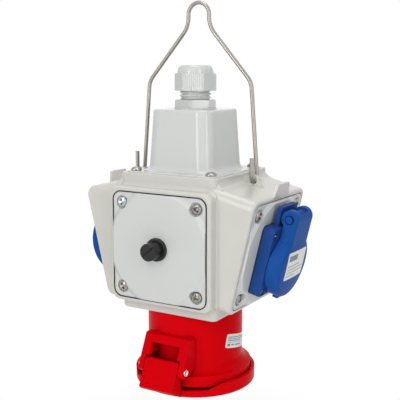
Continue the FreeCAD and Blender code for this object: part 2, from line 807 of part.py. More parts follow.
def socket_base():
    """Square flange with a hinge upstand, and the round wall of the plug recess, which passes the plate."""
    flange = soft_rim(base_outline(base_h, base_low), base_edge_r, base_top)
    foot = socket_v + base_half_v + base_over - upstand_root
    upstand = rounded_prism(upstand_half, (upstand_top - foot) / 2, upstand_corner_r, upstand_h, upstand_low,
                            (upstand_top + foot) / 2)
    cup = cylinder(cup_r, base_top - recess_floor, Vector(0, socket_v, recess_floor))
    collar = cylinder(recess_r + collar_t, collar_h, Vector(0, socket_v, base_top))
    parts = [upstand, cup, collar]
    for side in (-1, 1):
        low = min(side * knuckle_in, side * knuckle_out)
        high = max(side * knuckle_in, side * knuckle_out)
        web = block(Vector(low, hinge_v - knuckle_web, upstand_low + upstand_h / 2),
                    Vector(high, hinge_v + knuckle_web, hinge_w))
        parts += [cross_bar(knuckle_r, low, high, hinge_v, hinge_w), web]
    cover = cross_bar(knuckle_r, -knuckle_out, knuckle_out, hinge_v, hinge_w)
    cover = cover.cut(cross_bar(knuckle_r - knuckle_cover, -knuckle_out, knuckle_out, hinge_v, hinge_w))
    quarter = block(Vector(-knuckle_out, hinge_v, hinge_w),
                    Vector(knuckle_out, hinge_v + knuckle_r, hinge_w + knuckle_r))
    base = flange.fuse(parts + [cover.common(quarter)]).removeSplitter()
    recess = cylinder(recess_r, recess_depth, Vector(0, socket_v, recess_floor))
    screw_hole = cylinder(small_screw_r + hole_play, base_h, Vector(0, 0, base_low))
    sink_low = Vector(0, 0, base_top - socket_screw_sink)
    screw_seat = cylinder(small_head_r + hole_play, socket_screw_sink, sink_low)
    cuts = [recess, cross_bar(hinge_pin_r + hinge_play, -knuckle_out, knuckle_out, hinge_v, hinge_w)]
    cuts += copies(screw_hole.fuse(screw_seat), socket_screw_places())
    return base.cut(Part.makeCompound(cuts))


def socket_insert():
    """Floor of the plug recess, seated on the end of its wall, with a sleeve behind each pin hole."""
    low = recess_floor - socket_floor_t
    sleeve_r = contact_r + thread_play + contact_shell
    sleeve = cylinder(sleeve_r, contact_l, Vector(0, 0, low - contact_l))
    carrier = cylinder(cup_r, socket_floor_t, Vector(0, socket_v, low))
    carrier = carrier.fuse(copies(sleeve, contact_places()))
    pin_hole = cylinder(contact_hole_r, socket_floor_t, Vector(0, 0, low))
    seat = cylinder(contact_r + thread_play, contact_l, Vector(0, 0, low - contact_l))
    cuts = copies(pin_hole, contact_places()) + copies(seat, contact_places())
    return carrier.cut(Part.makeCompound(cuts))


def socket_gasket():
    sheet = base_outline(socket_gasket_t, disc_h)
    bore = cylinder(cup_r + cup_play, socket_gasket_t, Vector(0, socket_v, disc_h))
    hole = cylinder(small_screw_r + hole_play, socket_gasket_t, Vector(0, 0, disc_h))
    return sheet.cut(Part.makeCompound([bore] + copies(hole, socket_screw_places())))


def socket_screws():
    seat = base_top - socket_screw_sink
    length = seat + plate_t - tip_gap
    screw = pan_screw(small_screw_r, length, small_head_r, small_head_h).translated(Vector(0, 0, seat))
    return Part.makeCompound(copies(screw, socket_screw_places()))


def socket_contacts():
    low = recess_floor - socket_floor_t - contact_l
    sleeve = tube(contact_r, contact_bore_r, contact_l, Vector(0, 0, low))
    return Part.makeCompound(copies(sleeve, contact_places()))


def earth_clips():
    """Two sprung side strips that stand on the recess floor."""
    clips = []
    back = recess_r - clip_w * clip_w / (8 * recess_r) - hole_play
    face = back - clip_t
    toe = back - clip_foot
    outline = [(back, 0), (back, clip_l), (face, clip_l), (face - clip_bulge, clip_bulge_rise),
               (face, clip_bend_rise), (face, clip_t), (toe, clip_t), (toe, 0)]
    for side in (-1, 1):
        points = [(socket_v + side * reach, recess_floor + rise) for reach, rise in outline]
        clips.append(profile_along_x(points, clip_w / 2))
    return Part.makeCompound(clips)


def hinge_pin():
    end = hinge_barrel_half + lid_gap
    pin = cross_bar(hinge_pin_r, -end, end, hinge_v, hinge_w)
    heads = [cross_bar(hinge_pin_head_r, end, end + hinge_pin_head_t, hinge_v, hinge_w),
             cross_bar(hinge_pin_head_r, -end - hinge_pin_head_t, -end, hinge_v, hinge_w)]
    return pin.fuse(heads)


def lid_spring():
    half = knuckle_in - lid_gap
    coil = wound_spring(hinge_pin_r, spring_wire, half, hinge_v, hinge_w)
    reach = hinge_pin_r + spring_play + spring_wire / 2
    foot = upstand_low + upstand_h
    leg = cylinder(spring_wire / 2, hinge_w - foot, Vector(half - spring_wire, hinge_v - reach, foot))
    arm = cylinder(spring_wire / 2, knuckle_r - spring_wire * 2,
                   Vector(spring_wire - half, hinge_v, hinge_w + reach), Vector(0, -1, 0))
    return coil.fuse([leg, arm])


def lid_web(side):
    """Hollow round in the corner between the lid's round side and its neck."""
    reach = hinge_barrel_half + lid_neck_hollow
    rise = math.sqrt((lid_r + lid_neck_hollow) ** 2 - reach ** 2)
    share = lid_r / (lid_r + lid_neck_hollow)
    low = lid_low + lid_gap
    height = lid_side_h - lid_gap
    inner = side * (hinge_barrel_half - lid_neck_edge_r)
    outer = side * reach * share
    web = block(Vector(min(inner, outer), socket_v + lid_r / 2, low),
                Vector(max(inner, outer), socket_v + rise, low + height))
    hollow = cylinder(lid_neck_hollow, height, Vector(side * reach, socket_v + rise, low))
    below = block(Vector(min(inner, outer), socket_v, low),
                  Vector(max(inner, outer), socket_v + rise * share, low + height))
    return web.cut(hollow).cut(below)


def socket_lid():
    """Domed round lid whose neck ends in a barrel, slotted inside for the base's knuckles."""
    rim = lid_low + lid_side_h
    points = [Vector(0, 0, lid_low), Vector(lid_r, 0, lid_low), Vector(lid_r, 0, rim),
              Vector(lid_r - lid_shoulder_h, 0, lid_top), Vector(lid_flat_r, 0, lid_top + lid_crown_h),
              Vector(0, 0, lid_top + lid_crown_h)]
    edges = [Part.makeLine(points[k], points[k + 1]) for k in (0, 1, 4)]
    turn = lid_shoulder_h * (1 - math.sqrt(0.5))
    edges.append(Part.Arc(points[2], Vector(lid_r - turn, 0, lid_top - turn), points[3]).toShape())
    crown = Vector(lid_r / 2, 0, lid_top + lid_crown_h / math.sqrt(2))
    edges.append(Part.Arc(points[3], crown, points[4]).toShape())
    edges.append(Part.makeLine(points[5], points[0]))
    dome = Part.Face(Part.Wire(Part.__sortEdges__(edges))).revolve(Vector(0, 0, 0), Vector(0, 0, 1), 360)
    dome = dome.translated(Vector(0, socket_v, 0))
    neck = block(Vector(-hinge_barrel_half, socket_v + lid_r - lid_neck_root, lid_low + lid_gap),
                 Vector(hinge_barrel_half, hinge_v, hinge_w + hinge_barrel_r))
    barrel = cross_bar(hinge_barrel_r, -hinge_barrel_half, hinge_barrel_half, hinge_v, hinge_w)
    neck = neck.fuse(barrel).removeSplitter()
    ends = [edge for edge in neck.Edges if abs(edge.CenterOfMass.x) > hinge_barrel_half - level
            and edge.BoundBox.ZMax > hinge_w]
    neck = neck.makeFillet(lid_neck_edge_r, ends)
    lip_end = socket_v - lid_r - lid_lip_out
    lip_half_v = (lid_lip_out + lid_lip_root) / 2
    lip = rounded_prism(lid_lip_half, lip_half_v, lid_lip_corner_r, lid_lip_t,
                        lid_low + lid_side_h - lid_lip_t, lip_end + lip_half_v)
    lid = dome.fuse([neck, lip] + [lid_web(side) for side in (-1, 1)]).removeSplitter()
    slot_half = knuckle_out + lid_gap
    slot = cross_bar(knuckle_r + lid_slot_play, -slot_half, slot_half, hinge_v, hinge_w)
    way = block(Vector(-slot_half, hinge_v - knuckle_web - lid_slot_back, base_low),
                Vector(slot_half, hinge_v + 2 * hinge_barrel_r, hinge_w + hinge_barrel_r - lid_slot_roof))
    hollow = cylinder(lid_r - lid_wall, lid_top - lid_roof - lid_low, Vector(0, socket_v, lid_low))
    bore = cross_bar(hinge_pin_r + hinge_play, -hinge_barrel_half, hinge_barrel_half, hinge_v, hinge_w)
    for cut in (slot, way, hollow, bore):
        lid = lid.cut(cut)
    return lid


def lid_seal():
    low = collar_top + lid_gap
    outer = lid_r - lid_wall - lid_seal_play
    return tube(outer, outer - lid_seal_w, lid_top - lid_roof - low, Vector(0, socket_v, low))


def ring_places(radius, count, first_angle):
    """Places evenly spread on a circle round the box's axis."""
    angles = [math.radians(first_angle + k * 360 / count) for k in range(count)]
    return [Vector(radius * math.cos(angle), radius * math.sin(angle), 0) for angle in angles]


def cee_screw_places():
    return ring_places(cee_screw_r, 4, 45)


def cee_front(z):
    """Depth of the hinge block's sloping front face at this height."""
    return -cee_r - cee_block_proud - (cee_block_top - z) * math.tan(math.radians(cee_block_slope))


cee_pin_y = cee_front(cee_pin_z) + cee_pin_inset / math.cos(math.radians(cee_block_slope))


def cee_flare():
    """Hollow round that leads from the stem down to the ring at the mouth."""
    low = cee_mouth_z + cee_ring_h
    foot = Vector(cee_ring_r, 0, low)
    head = Vector(cee_r, 0, low + cee_flare_h)
    root = [Vector(cee_bore_r, 0, low + cee_flare_h), Vector(cee_bore_r, 0, low)]
    middle = (foot + head) / 2 - Vector(1, 0, 1).normalize() * cee_flare_hollow
    edges = [Part.Arc(foot, middle, head).toShape()]
    straight = [head] + root + [foot]
    edges += [Part.makeLine(straight[k], straight[k + 1]) for k in range(3)]
    return Part.Face(Part.Wire(edges)).revolve(Vector(0, 0, 0), Vector(0, 0, 1), 360)


def cee_body():
    """Round body with a flared mouth and a window hinge block on its front."""
    inside = -cee_r + cee_wall
    toe_z = cee_block_foot + cee_block_toe
    outline = [(inside, cee_block_top), (cee_front(cee_block_top), cee_block_top), (cee_front(toe_z), toe_z),
               (cee_front(toe_z) + cee_block_toe, cee_block_foot),
               (-cee_r - cee_wall, cee_block_foot), (inside, cee_block_foot + cee_flare_h)]
    hinge = profile_along_x(outline, cee_block_half)
    free = [edge for edge in hinge.Edges if edge.BoundBox.YMax < -cee_r]
    hinge = hinge.makeFillet(cee_block_edge_r, free)
    far = cee_front(0)
    slot = block(Vector(-cee_tongue_half - cee_slot_play, far, 0),
                 Vector(cee_tongue_half + cee_slot_play, inside, cee_window_low + cee_slot_over))
    window = block(Vector(-cee_window_half, far, cee_window_low),
                   Vector(cee_window_half, inside, cee_window_high))
    hinge = hinge.cut(slot).cut(window)
    stem = cylinder(cee_r, cee_top - cee_mouth_z, Vector(0, 0, cee_mouth_z))
    ring = cylinder(cee_ring_r, cee_ring_h, Vector(0, 0, cee_mouth_z))
    ring = soft_rim(ring, cee_ring_edge_r, cee_mouth_z)
    body = stem.fuse([ring, cee_flare(), hinge]).removeSplitter()
    bore = cylinder(cee_bore_r, cee_web_z - cee_mouth_z, Vector(0, 0, cee_mouth_z))
    key = block(Vector(-cee_key_w / 2, 0, cee_mouth_z),
                Vector(cee_key_w / 2, cee_bore_r + cee_key_depth, cee_web_z))
    way = cylinder(cee_web_hole_r, cee_web_t, Vector(0, 0, cee_web_z))
    pilot = cylinder(screw_r + thread_play, screw_grip, Vector(0, 0, cee_top - screw_grip))
    pin_hole = cross_bar(cee_pin_r + hinge_play, -cee_block_half, cee_block_half, cee_pin_y, cee_pin_z)
    for cut in [bore, key, way, pin_hole] + copies(pilot, cee_screw_places()):
        body = body.cut(cut)
    return body


def cee_gasket():
    hole = cylinder(screw_r + hole_play, cee_gasket_t, Vector(0, 0, cee_top))
    sheet = tube(cee_r - cee_gasket_inset, cee_web_hole_r, cee_gasket_t, Vector(0, 0, cee_top))
    return sheet.cut(Part.makeCompound(copies(hole, cee_screw_places())))


def cee_screws():
    length = floor_t + cee_gasket_t + cee_web_t - tip_gap
    screw = pan_screw(screw_r, length, screw_head_r, screw_head_h)
    screw = screw.translated(Vector(0, 0, core_bottom + floor_t))
    return Part.makeCompound(copies(screw, cee_screw_places()))


def cee_contact_places():
    return ring_places(cee_contact_circle, cee_contacts, 90)


def cee_insert():
    low = cee_mouth_z + cee_insert_mouth
    core = soft_rim(cylinder(cee_insert_r, cee_web_z - low, Vector(0, 0, low)), cee_insert_edge_r, low)
    hole = cylinder(cee_contact_r + thread_play, cee_web_z - low, Vector(0, 0, low))
    return core.cut(Part.makeCompound(copies(hole, cee_contact_places())))


def cee_contact_set():
    low = cee_web_z - cee_contact_l
    sleeve = tube(cee_contact_r, cee_contact_bore_r, cee_contact_l + cee_web_t / 2, Vector(0, 0, low))
    return Part.makeCompound(copies(sleeve, cee_contact_places()))


def cee_hinge_pin():
    end = cee_block_half + cee_pin_head_t
    heads = [cross_bar(cee_pin_head_r, cee_block_half, end, cee_pin_y, cee_pin_z),
             cross_bar(cee_pin_head_r, -end, -cee_block_half, cee_pin_y, cee_pin_z)]
    return cross_bar(cee_pin_r, -cee_block_half, cee_block_half, cee_pin_y, cee_pin_z).fuse(heads)


def cee_lid_spring():
    return wound_spring(cee_pin_r, spring_wire, cee_spring_half - lid_gap, cee_pin_y, cee_pin_z)


def cee_lid():
    """Round lid with a collar over the body's ring and a sloping tongue that carries the hinge."""
    disc = soft_rim(cylinder(cee_lid_r, cee_lid_t), cee_lid_edge_r, 0)
    collar = tube(cee_lid_r, cee_collar_in, cee_collar_h, Vector(0, 0, cee_lid_t))
    cut_half = cee_block_half + cee_collar_cut
    low = cee_lid_t + cee_collar_left
    high = cee_lid_t + cee_collar_h
    outline = [(-cut_half, high), (cee_collar_ramp - cut_half, low), (cut_half - cee_collar_ramp, low),
               (cut_half, high)]
    points = [Vector(x, -cee_lid_r, z) for x, z in outline]
    gap = Part.Face(Part.makePolygon(points + points[:1])).extrude(Vector(0, cee_lid_r, 0))
    top_y = cee_front(cee_tongue_top)
    low_y = cee_front(cee_tongue_low)
    root_y = -cee_collar_in - cee_root_gap
    deep_y = root_y + cee_root_depth
    foot_z = cee_lid_edge_r / 2
    outline = [(top_y, cee_tongue_top), (low_y, cee_tongue_low),
               (low_y + cee_tongue_toe, cee_tongue_low - cee_tongue_toe), (root_y - foot_z, foot_z),
               (deep_y, foot_z), (deep_y, cee_lid_t), (root_y, cee_lid_t),
               (root_y, cee_tongue_low + cee_root_depth), (cee_pin_y, cee_pin_z),
               (top_y + cee_heel_t, cee_tongue_top)]
    tongue = profile_along_x(outline, cee_tongue_half)
    knuckle = cross_bar(cee_knuckle_r, -cee_tongue_half, cee_tongue_half, cee_pin_y, cee_pin_z)
    front = profile_along_x([(cee_front(cee_top), cee_top), (cee_front(0), 0), (0, 0), (0, cee_top)],
                            cee_block_half)
    lid = disc.fuse([collar.cut(gap), tongue.fuse(knuckle).common(front)]).removeSplitter()
    spring_r = cee_pin_r + spring_play + spring_wire + spring_play / 2
    pocket = cross_bar(spring_r, -cee_spring_half, cee_spring_half, cee_pin_y, cee_pin_z)
    bore = cross_bar(cee_pin_r + hinge_play, -cee_tongue_half, cee_tongue_half, cee_pin_y, cee_pin_z)
    return lid.cut(pocket).cut(bore)


def cee_lid_seal():
    outer = cee_ring_r - cee_seal_inset
    return tube(outer, outer - cee_seal_w, cee_mouth_z - lid_gap - cee_lid_t, Vector(0, 0, cee_lid_t))


def strip_places():
    pitch = 2 * strip_half / cee_contacts
    top = core_bottom + floor_t + strip_h
    return [Vector((k + 0.5) * pitch - strip_half, strip_y + strip_depth / 2, top)
            for k in range(cee_contacts)]


def terminal_strip():
    low = core_bottom + floor_t
    strip = block(Vector(-strip_half, strip_y, low),
                  Vector(strip_half, strip_y + strip_depth, low + strip_h))
    well = cylinder(clamp_r + thread_play, clamp_h, Vector(0, 0, -clamp_h))
    return strip.cut(Part.makeCompound(copies(well, strip_places())))


def terminal_screws():
    screw = cylinder(clamp_r, clamp_h + clamp_proud, Vector(0, 0, -clamp_h))
    return Part.makeCompound(copies(screw, strip_places()))


def rounded_path(points, radii):
    """Straight runs joined by tangent arcs, one radius for each inner point."""
    edges = []
    last = points[0]
    for before, corner, after, radius in zip(points, points[1:], points[2:], radii):
        come = (before - corner).normalize()
        go = (after - corner).normalize()
        half_angle = come.getAngle(go) / 2
        reach = radius / math.tan(half_angle)
        middle = (come + go).normalize() * (radius / math.sin(half_angle) - radius)
        start = corner + come * reach
        end = corner + go * reach
        edges.append(Part.makeLine(last, start))
        edges.append(Part.Arc(start, corner + middle, end).toShape())
        last = end
    edges.append(Part.makeLine(last, points[-1]))
    return Part.Wire(edges)


def bail():
    """One length of wire, hooked through both ears and drawn in to a round hanging loop."""
    stations = [(ear_x, -bail_hook_y, bail_tip_rise), (ear_x, -bail_hook_y, 0), (ear_x, bail_hook_y, 0),
                (ear_x - bail_shoulder_in, bail_hook_y, bail_shoulder_rise),
                (bail_neck_x, bail_hook_y, bail_neck_rise), (bail_neck_x, bail_hook_y, bail_top_rise)]
    half = [Vector(x, y, bail_pivot_z + rise) for x, y, rise in stations]
    points = half + [Vector(-point.x, point.y, point.z) for point in reversed(half)]
    bends = [bail_hook_r, bail_hook_r, bail_shoulder_r, bail_neck_r, bail_loop_r]
    path = rounded_path(points, bends + bends[::-1])
    section = Part.Wire(Part.makeCircle(bail_wire_r, points[0], Vector(0, 0, 1)))
    return path.makePipeShell([section], True, True)


nodes = {
    "housing": housing(),
    "top_cap": top_cap(),
    "cap_gasket": cap_gasket(),
    "cap_screws": cap_screws(),
    "gland_body": gland_body(),
    "gland_washer": gland_washer(),
    "gland_locknut": gland_locknut(),
    "gland_seal": gland_seal(),
    "gland_dome_nut": gland_dome_nut(),
    "front_cover": placed(fuse_cover(), bays["front"]),
    "rear_cover": placed(cover_plate(), bays["rear"]),
    "fuse_holder": placed(fuse_holder(), bays["front"]),
    "fuse_holder_washer": placed(fuse_holder_washer(), bays["front"]),
    "fuse_holder_nut": placed(fuse_holder_nut(), bays["front"]),
    "fuse_cap": placed(fuse_cap(), bays["front"]),
    "fuse_link": placed(fuse_link(), bays["front"]),
    "fuse_ferrules": placed(fuse_ferrules(), bays["front"]),
    "cee_body": cee_body(),
    "cee_gasket": cee_gasket(),
    "cee_screws": cee_screws(),
    "cee_insert": cee_insert(),
    "cee_contacts": cee_contact_set(),
    "cee_hinge_pin": cee_hinge_pin(),
    "cee_lid_spring": cee_lid_spring(),
    "cee_lid": cee_lid(),
    "cee_lid_seal": cee_lid_seal(),
    "terminal_strip": terminal_strip(),
    "terminal_screws": terminal_screws(),
    "bail": bail(),
}
for side, frame in bays.items():
    nodes[side + "_plate_gasket"] = placed(plate_gasket(), frame)
    nodes[side + "_plate_screws"] = placed(plate_screws(), frame)
for side in ("left", "right"):
    pieces = {
        "socket_plate": socket_plate, "socket_base": socket_base, "socket_insert": socket_insert,
        "socket_gasket": socket_gasket, "socket_screws": socket_screws, "socket_contacts": socket_contacts,
        "earth_clips": earth_clips, "hinge_pin": hinge_pin, "lid_spring": lid_spring, "lid": socket_lid,
        "lid_seal": lid_seal,
    }
    for name, make in pieces.items():
        nodes[side + "_" + name] = placed(make(), bays[side])

os.makedirs("parts", exist_ok=True)
for name, shape in nodes.items():
    shape.exportStep("parts/" + name + ".step")
    state = "valid" if shape.isValid() else "NOT VALID"
    print(name, len(shape.Solids), "solids", round(shape.Volume), "mm3", state)
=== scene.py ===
import math

import bmesh
import bpy
import numpy as np
from mathutils import Matrix, Vector
from mathutils.bvhtree import BVHTree


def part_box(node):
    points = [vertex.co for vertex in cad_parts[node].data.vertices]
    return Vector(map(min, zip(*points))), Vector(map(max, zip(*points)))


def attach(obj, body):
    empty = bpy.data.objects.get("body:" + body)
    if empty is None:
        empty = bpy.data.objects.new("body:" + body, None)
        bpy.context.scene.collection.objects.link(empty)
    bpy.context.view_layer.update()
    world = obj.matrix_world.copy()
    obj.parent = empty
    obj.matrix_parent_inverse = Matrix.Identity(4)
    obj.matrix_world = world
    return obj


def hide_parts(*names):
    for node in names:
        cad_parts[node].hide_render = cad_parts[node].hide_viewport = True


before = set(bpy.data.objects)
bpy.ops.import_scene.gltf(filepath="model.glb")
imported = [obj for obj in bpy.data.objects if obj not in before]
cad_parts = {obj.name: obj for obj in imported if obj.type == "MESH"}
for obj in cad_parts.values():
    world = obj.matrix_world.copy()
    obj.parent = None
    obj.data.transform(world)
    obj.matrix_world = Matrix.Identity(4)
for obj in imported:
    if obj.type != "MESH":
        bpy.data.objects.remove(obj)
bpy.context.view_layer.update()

# Housing: one hollow box with four square bays, two ears and two fins, moulded in one shot.
# It is polycarbonate from a spark-eroded mould, coloured right through, so edges show no other shade.
mm = 0.001


def linear(hex_colour):
    """Linear RGBA of an sRGB hex colour."""
    parts = [int(hex_colour[k:k + 2], 16) / 255 for k in (1, 3, 5)]
    return [c / 12.92 if c <= 0.04045 else ((c + 0.055) / 1.055) ** 2.4 for c in parts] + [1.0]


def add(tree, kind, inputs=(), **settings):
    """Adds a node with its settings, and with values or links for its inputs."""
    made = tree.nodes.new(kind)
    for name, value in settings.items():
        setattr(made, name, value)
    for socket, value in dict(inputs).items():
        if isinstance(value, bpy.types.NodeSocket):
            tree.links.new(value, made.inputs[socket])
        else:
            made.inputs[socket].default_value = value
    return made


def new_material(name):
    """Empty material and its node tree."""
    material = bpy.data.materials.new(name)
    material.use_nodes = True
    material.node_tree.nodes.clear()
    return material, material.node_tree


def moulded(name, shade, deep_shade, roughness, specular, relief=0.02, soft_edge=0.3, painted_recess_shade=None):
    """Moulded plastic: clouded colour from its flow in the mould, an eroded grain and broken edges.
    The real grain is about 0.1 mm and would not show, so it is drawn at 0.7 mm. Relief and soft edge
    are in mm. A recess colour, when given, is painted shade: recesses darken towards it by their occlusion."""
    cloud_size, grain, recess_reach = 24 * mm, 0.7 * mm, 12 * mm
    open_share, deep_share = 0.6, 0.2
    gloss_spread = 0.02
    material, tree = new_material(name)
    place = add(tree, "ShaderNodeTexCoord")
    flow = add(tree, "ShaderNodeTexNoise",
               {"Vector": place.outputs["Object"], "Scale": 1 / cloud_size, "Detail": 3.0,
                "Roughness": 0.55})
    tint = add(tree, "ShaderNodeMix",
               {"Factor": flow.outputs["Fac"], "A": linear(deep_shade), "B": linear(shade)},
               data_type="RGBA")
    # Painted shade: the tint darkens towards the recess colour where ambient occlusion finds a recess.
    if painted_recess_shade:
        hollow = add(tree, "ShaderNodeAmbientOcclusion", {"Distance": recess_reach}, samples=8)
        painted_shade = add(tree, "ShaderNodeMapRange",
                    {"Value": hollow.outputs["AO"], "From Min": open_share, "From Max": deep_share})
        tint = add(tree, "ShaderNodeMix",
                   {"Factor": painted_shade.outputs["Result"], "A": tint.outputs["Result"],
                    "B": linear(painted_recess_shade)}, data_type="RGBA")
    erosion = add(tree, "ShaderNodeTexNoise",
                  {"Vector": place.outputs["Object"], "Scale": 1 / grain, "Detail": 2.0})
    gloss = add(tree, "ShaderNodeMapRange",
                {"Value": erosion.outputs["Fac"], "From Min": 0.3, "From Max": 0.7,
                 "To Min": roughness - gloss_spread, "To Max": roughness + gloss_spread})
    edge = add(tree, "ShaderNodeBevel", {"Radius": soft_edge * mm}, samples=4)
    bump = add(tree, "ShaderNodeBump",
               {"Height": erosion.outputs["Fac"], "Strength": 0.25, "Distance": relief * mm,
                "Normal": edge.outputs["Normal"]})
    shell = add(tree, "ShaderNodeBsdfPrincipled",
                {"Base Color": tint.outputs["Result"], "Roughness": gloss.outputs["Result"],
                 "Specular IOR Level": specular, "Normal": bump.outputs["Normal"]})
    add(tree, "ShaderNodeOutputMaterial", {"Surface": shell.outputs["BSDF"]})
    return material


def dress(material, *names):
    """Gives CAD nodes their material."""
    for name in names:
        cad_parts[name].data.materials.clear()
        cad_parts[name].data.materials.append(material)


# Polycarbonate, satin from the eroded mould: warm light grey with broad soft lights along its rounds.
polycarbonate = moulded("moulded_polycarbonate", "#D2D1CA", "#CBCAC3", roughness=0.2, specular=0.5)
dress(polycarbonate, "housing")

# Gaskets: thin seals of EPDM rubber under the cap, the four plates and the three sockets.
# Flat ones are punched from sheet. Those of the plates have a moulded lip, dark in the plate's groove.
sides = ("left", "right")
all_bays = ("front", "right", "rear", "left")

# EPDM rubber: near black, dull, with the fine dust of its rolled sheet.
epdm = moulded("punched_epdm", "#262627", "#1C1C1D", roughness=0.75, specular=0.25, relief=0.06)
dress(epdm, "cap_gasket", "cee_gasket", *[bay + "_plate_gasket" for bay in all_bays],
      *[side + "_socket_gasket" for side in sides])
side_tilt = math.radians(13.5)
bay_turns = {"front": (0, 0), "right": (90, side_tilt), "rear": (180, 0), "left": (270, side_tilt)}


def bay_axes(bay):
    """Axes of a bay's plate: along its lower edge, up the plate and outwards."""
    turn, tilt = bay_turns[bay]
    return Matrix.Rotation(math.radians(turn), 3, "Z") @ Matrix.Rotation(math.pi / 2 + tilt, 3, "X")


def ring_solid(name, rings, capped=False, sharp=35):
    """Closed mesh through rings of points; uncapped, the last ring joins the first."""
    count = len(rings[0])
    spans = len(rings) - 1 if capped else len(rings)
    faces = []
    for k in range(spans):
        here = k * count
        there = (k + 1) % len(rings) * count
        for i in range(count):
            after = (i + 1) % count
            faces.append((here + i, here + after, there + after, there + i))
    if capped:
        faces += [tuple(range(count)), tuple(range((len(rings) - 1) * count, len(rings) * count))]
    mesh = bpy.data.meshes.new(name)
    mesh.from_pydata([tuple(point) for ring in rings for point in ring], [], faces)
    built = bmesh.new()
    built.from_mesh(mesh)
    bmesh.ops.recalc_face_normals(built, faces=built.faces)
    built.to_mesh(mesh)
    built.free()
    mesh.shade_smooth()
    mesh.set_sharp_from_angle(angle=math.radians(sharp))
    return mesh


def shown(name, mesh, materials, body):
    """New piece of the object with its materials and the body it moves with."""
    piece = bpy.data.objects.new(name, mesh)
    bpy.context.scene.collection.objects.link(piece)
    for material in materials:
        mesh.materials.append(material)
    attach(piece, body)
    return piece


def along(node, axes):
    """A CAD node's corners measured along these axes, one row each."""
    return np.array([vertex.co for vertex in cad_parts[node].data.vertices]) @ np.array(axes)


def gasket_lip(bay, plate, sunk):
    """Upturned lip of a plate's gasket, which fills the groove round the plate to just under its rim."""
    plate_corner_r, groove, lip_h = 6.0, 0.7, 2.0
    inner, outer = 0.05, groove - 0.02
    edge_band = 0.05
    axes = bay_axes(bay)
    corners = along(plate, axes) / mm
    low, high = corners.min(0), corners.max(0)
    middle = (low + high) / 2
    half = (high[0] - low[0]) / 2
    rim = corners[np.abs(corners[:, 0] - middle[0]) > half - edge_band][:, 2].max()
    section = ((inner, rim - lip_h), (inner, rim - sunk), (outer, rim - sunk), (outer, rim - lip_h))
    rings = []
    for out, level in section:
        r = plate_corner_r + out
        ring = []
        for quarter in range(4):
            diagonal = math.radians(90 * quarter + 45)
            turn_x = middle[0] + math.copysign(half - plate_corner_r, math.cos(diagonal))
            turn_y = middle[1] + math.copysign(half - plate_corner_r, math.sin(diagonal))
            for step in range(7):
                a = math.radians(90 * quarter + 15 * step)
                place = Vector((turn_x + r * math.cos(a), turn_y + r * math.sin(a), level))
                ring.append(axes @ place * mm)
        rings.append(ring)
    name = bay + "_gasket_lip"
    shown(name, ring_solid(name, rings), [epdm], "box")


for end in ("front", "rear"):
    gasket_lip(end, end + "_cover", sunk=0.75)
for side in sides:
    gasket_lip(side, side + "_socket_plate", sunk=1.8)

# Covers: the square plates in the four bays and the cap with its tapered tower, moulded in ABS.
# The cap's mould was polished and the plates' mould was blasted; screws hold them all on their gaskets.

# ABS, polished: cool pale grey that mirrors the lamps in streaks. From the blasted mould it is satin.
polished_abs = moulded("polished_abs", "#D2D4D2", "#CDD0CE", roughness=0.13, specular=0.5)
satin_abs = moulded("satin_abs", "#D2D4D2", "#CDD0CE", roughness=0.36, specular=0.4)
dress(polished_abs, "top_cap")
dress(satin_abs, "front_cover", "rear_cover", *[side + "_socket_plate" for side in sides])

# Screws: pan heads with a cross recess, cold headed from stainless wire, with a rolled thread.
# They sit in the plates' counterbores, on the flanges of the cap and the blue sockets, and inside the box
# over the red socket. One of the front plate's is zinc plated.
m4_r, m4_head_r, m4_head_h = 1.95, 4.0, 2.6
m3_r, m3_head_r, m3_head_h = 1.45, 2.75, 1.8
plate_screw_length, socket_screw_length = 10.8, 10.6
cap_screw_length, cee_screw_length = 12.0, 10.0


def turned(profile, count):
    """Rings of a turned form from (radius, height) pairs in mm."""
    angles = [2 * math.pi * k / count for k in range(count)]
    return [[(r * mm * math.cos(a), r * mm * math.sin(a), z * mm) for a in angles] for r, z in profile]


def cut_out(mesh, cutter):
    """The mesh with the cutter's form taken out of it."""
    collection = bpy.context.scene.collection
    blank = bpy.data.objects.new("blank", mesh)
    tool = bpy.data.objects.new("tool", cutter)
    collection.objects.link(blank)
    collection.objects.link(tool)
    cut = blank.modifiers.new("cut", "BOOLEAN")
    cut.object = tool
    cut.solver = "EXACT"
    bpy.context.view_layer.update()
    result = bpy.data.meshes.new_from_object(blank.evaluated_get(bpy.context.evaluated_depsgraph_get()))
    bpy.data.objects.remove(blank)
    bpy.data.objects.remove(tool)
    return result


def cross_recess(reach, width, depth, top):
    """Tapered cross that the driver fits, its wings narrowing from above the head to its floor."""
    above, mouth_share, floor_share = 0.3, 1.08, 0.35
    rings = []
    for level, share in ((-depth, floor_share), (above, mouth_share)):
        r, w = reach * share, width * (0.55 + 0.45 * share)
        wing = [(r, -w), (r, w), (w, w)]
        ring = []
        for k in range(4):
            c, s = math.cos(k * math.pi / 2), math.sin(k * math.pi / 2)
            ring += [((c * x - s * y) * mm, (s * x + c * y) * mm, (top + level) * mm) for x, y in wing]
        rings.append(ring)
    return ring_solid("cross_recess", rings, capped=True)


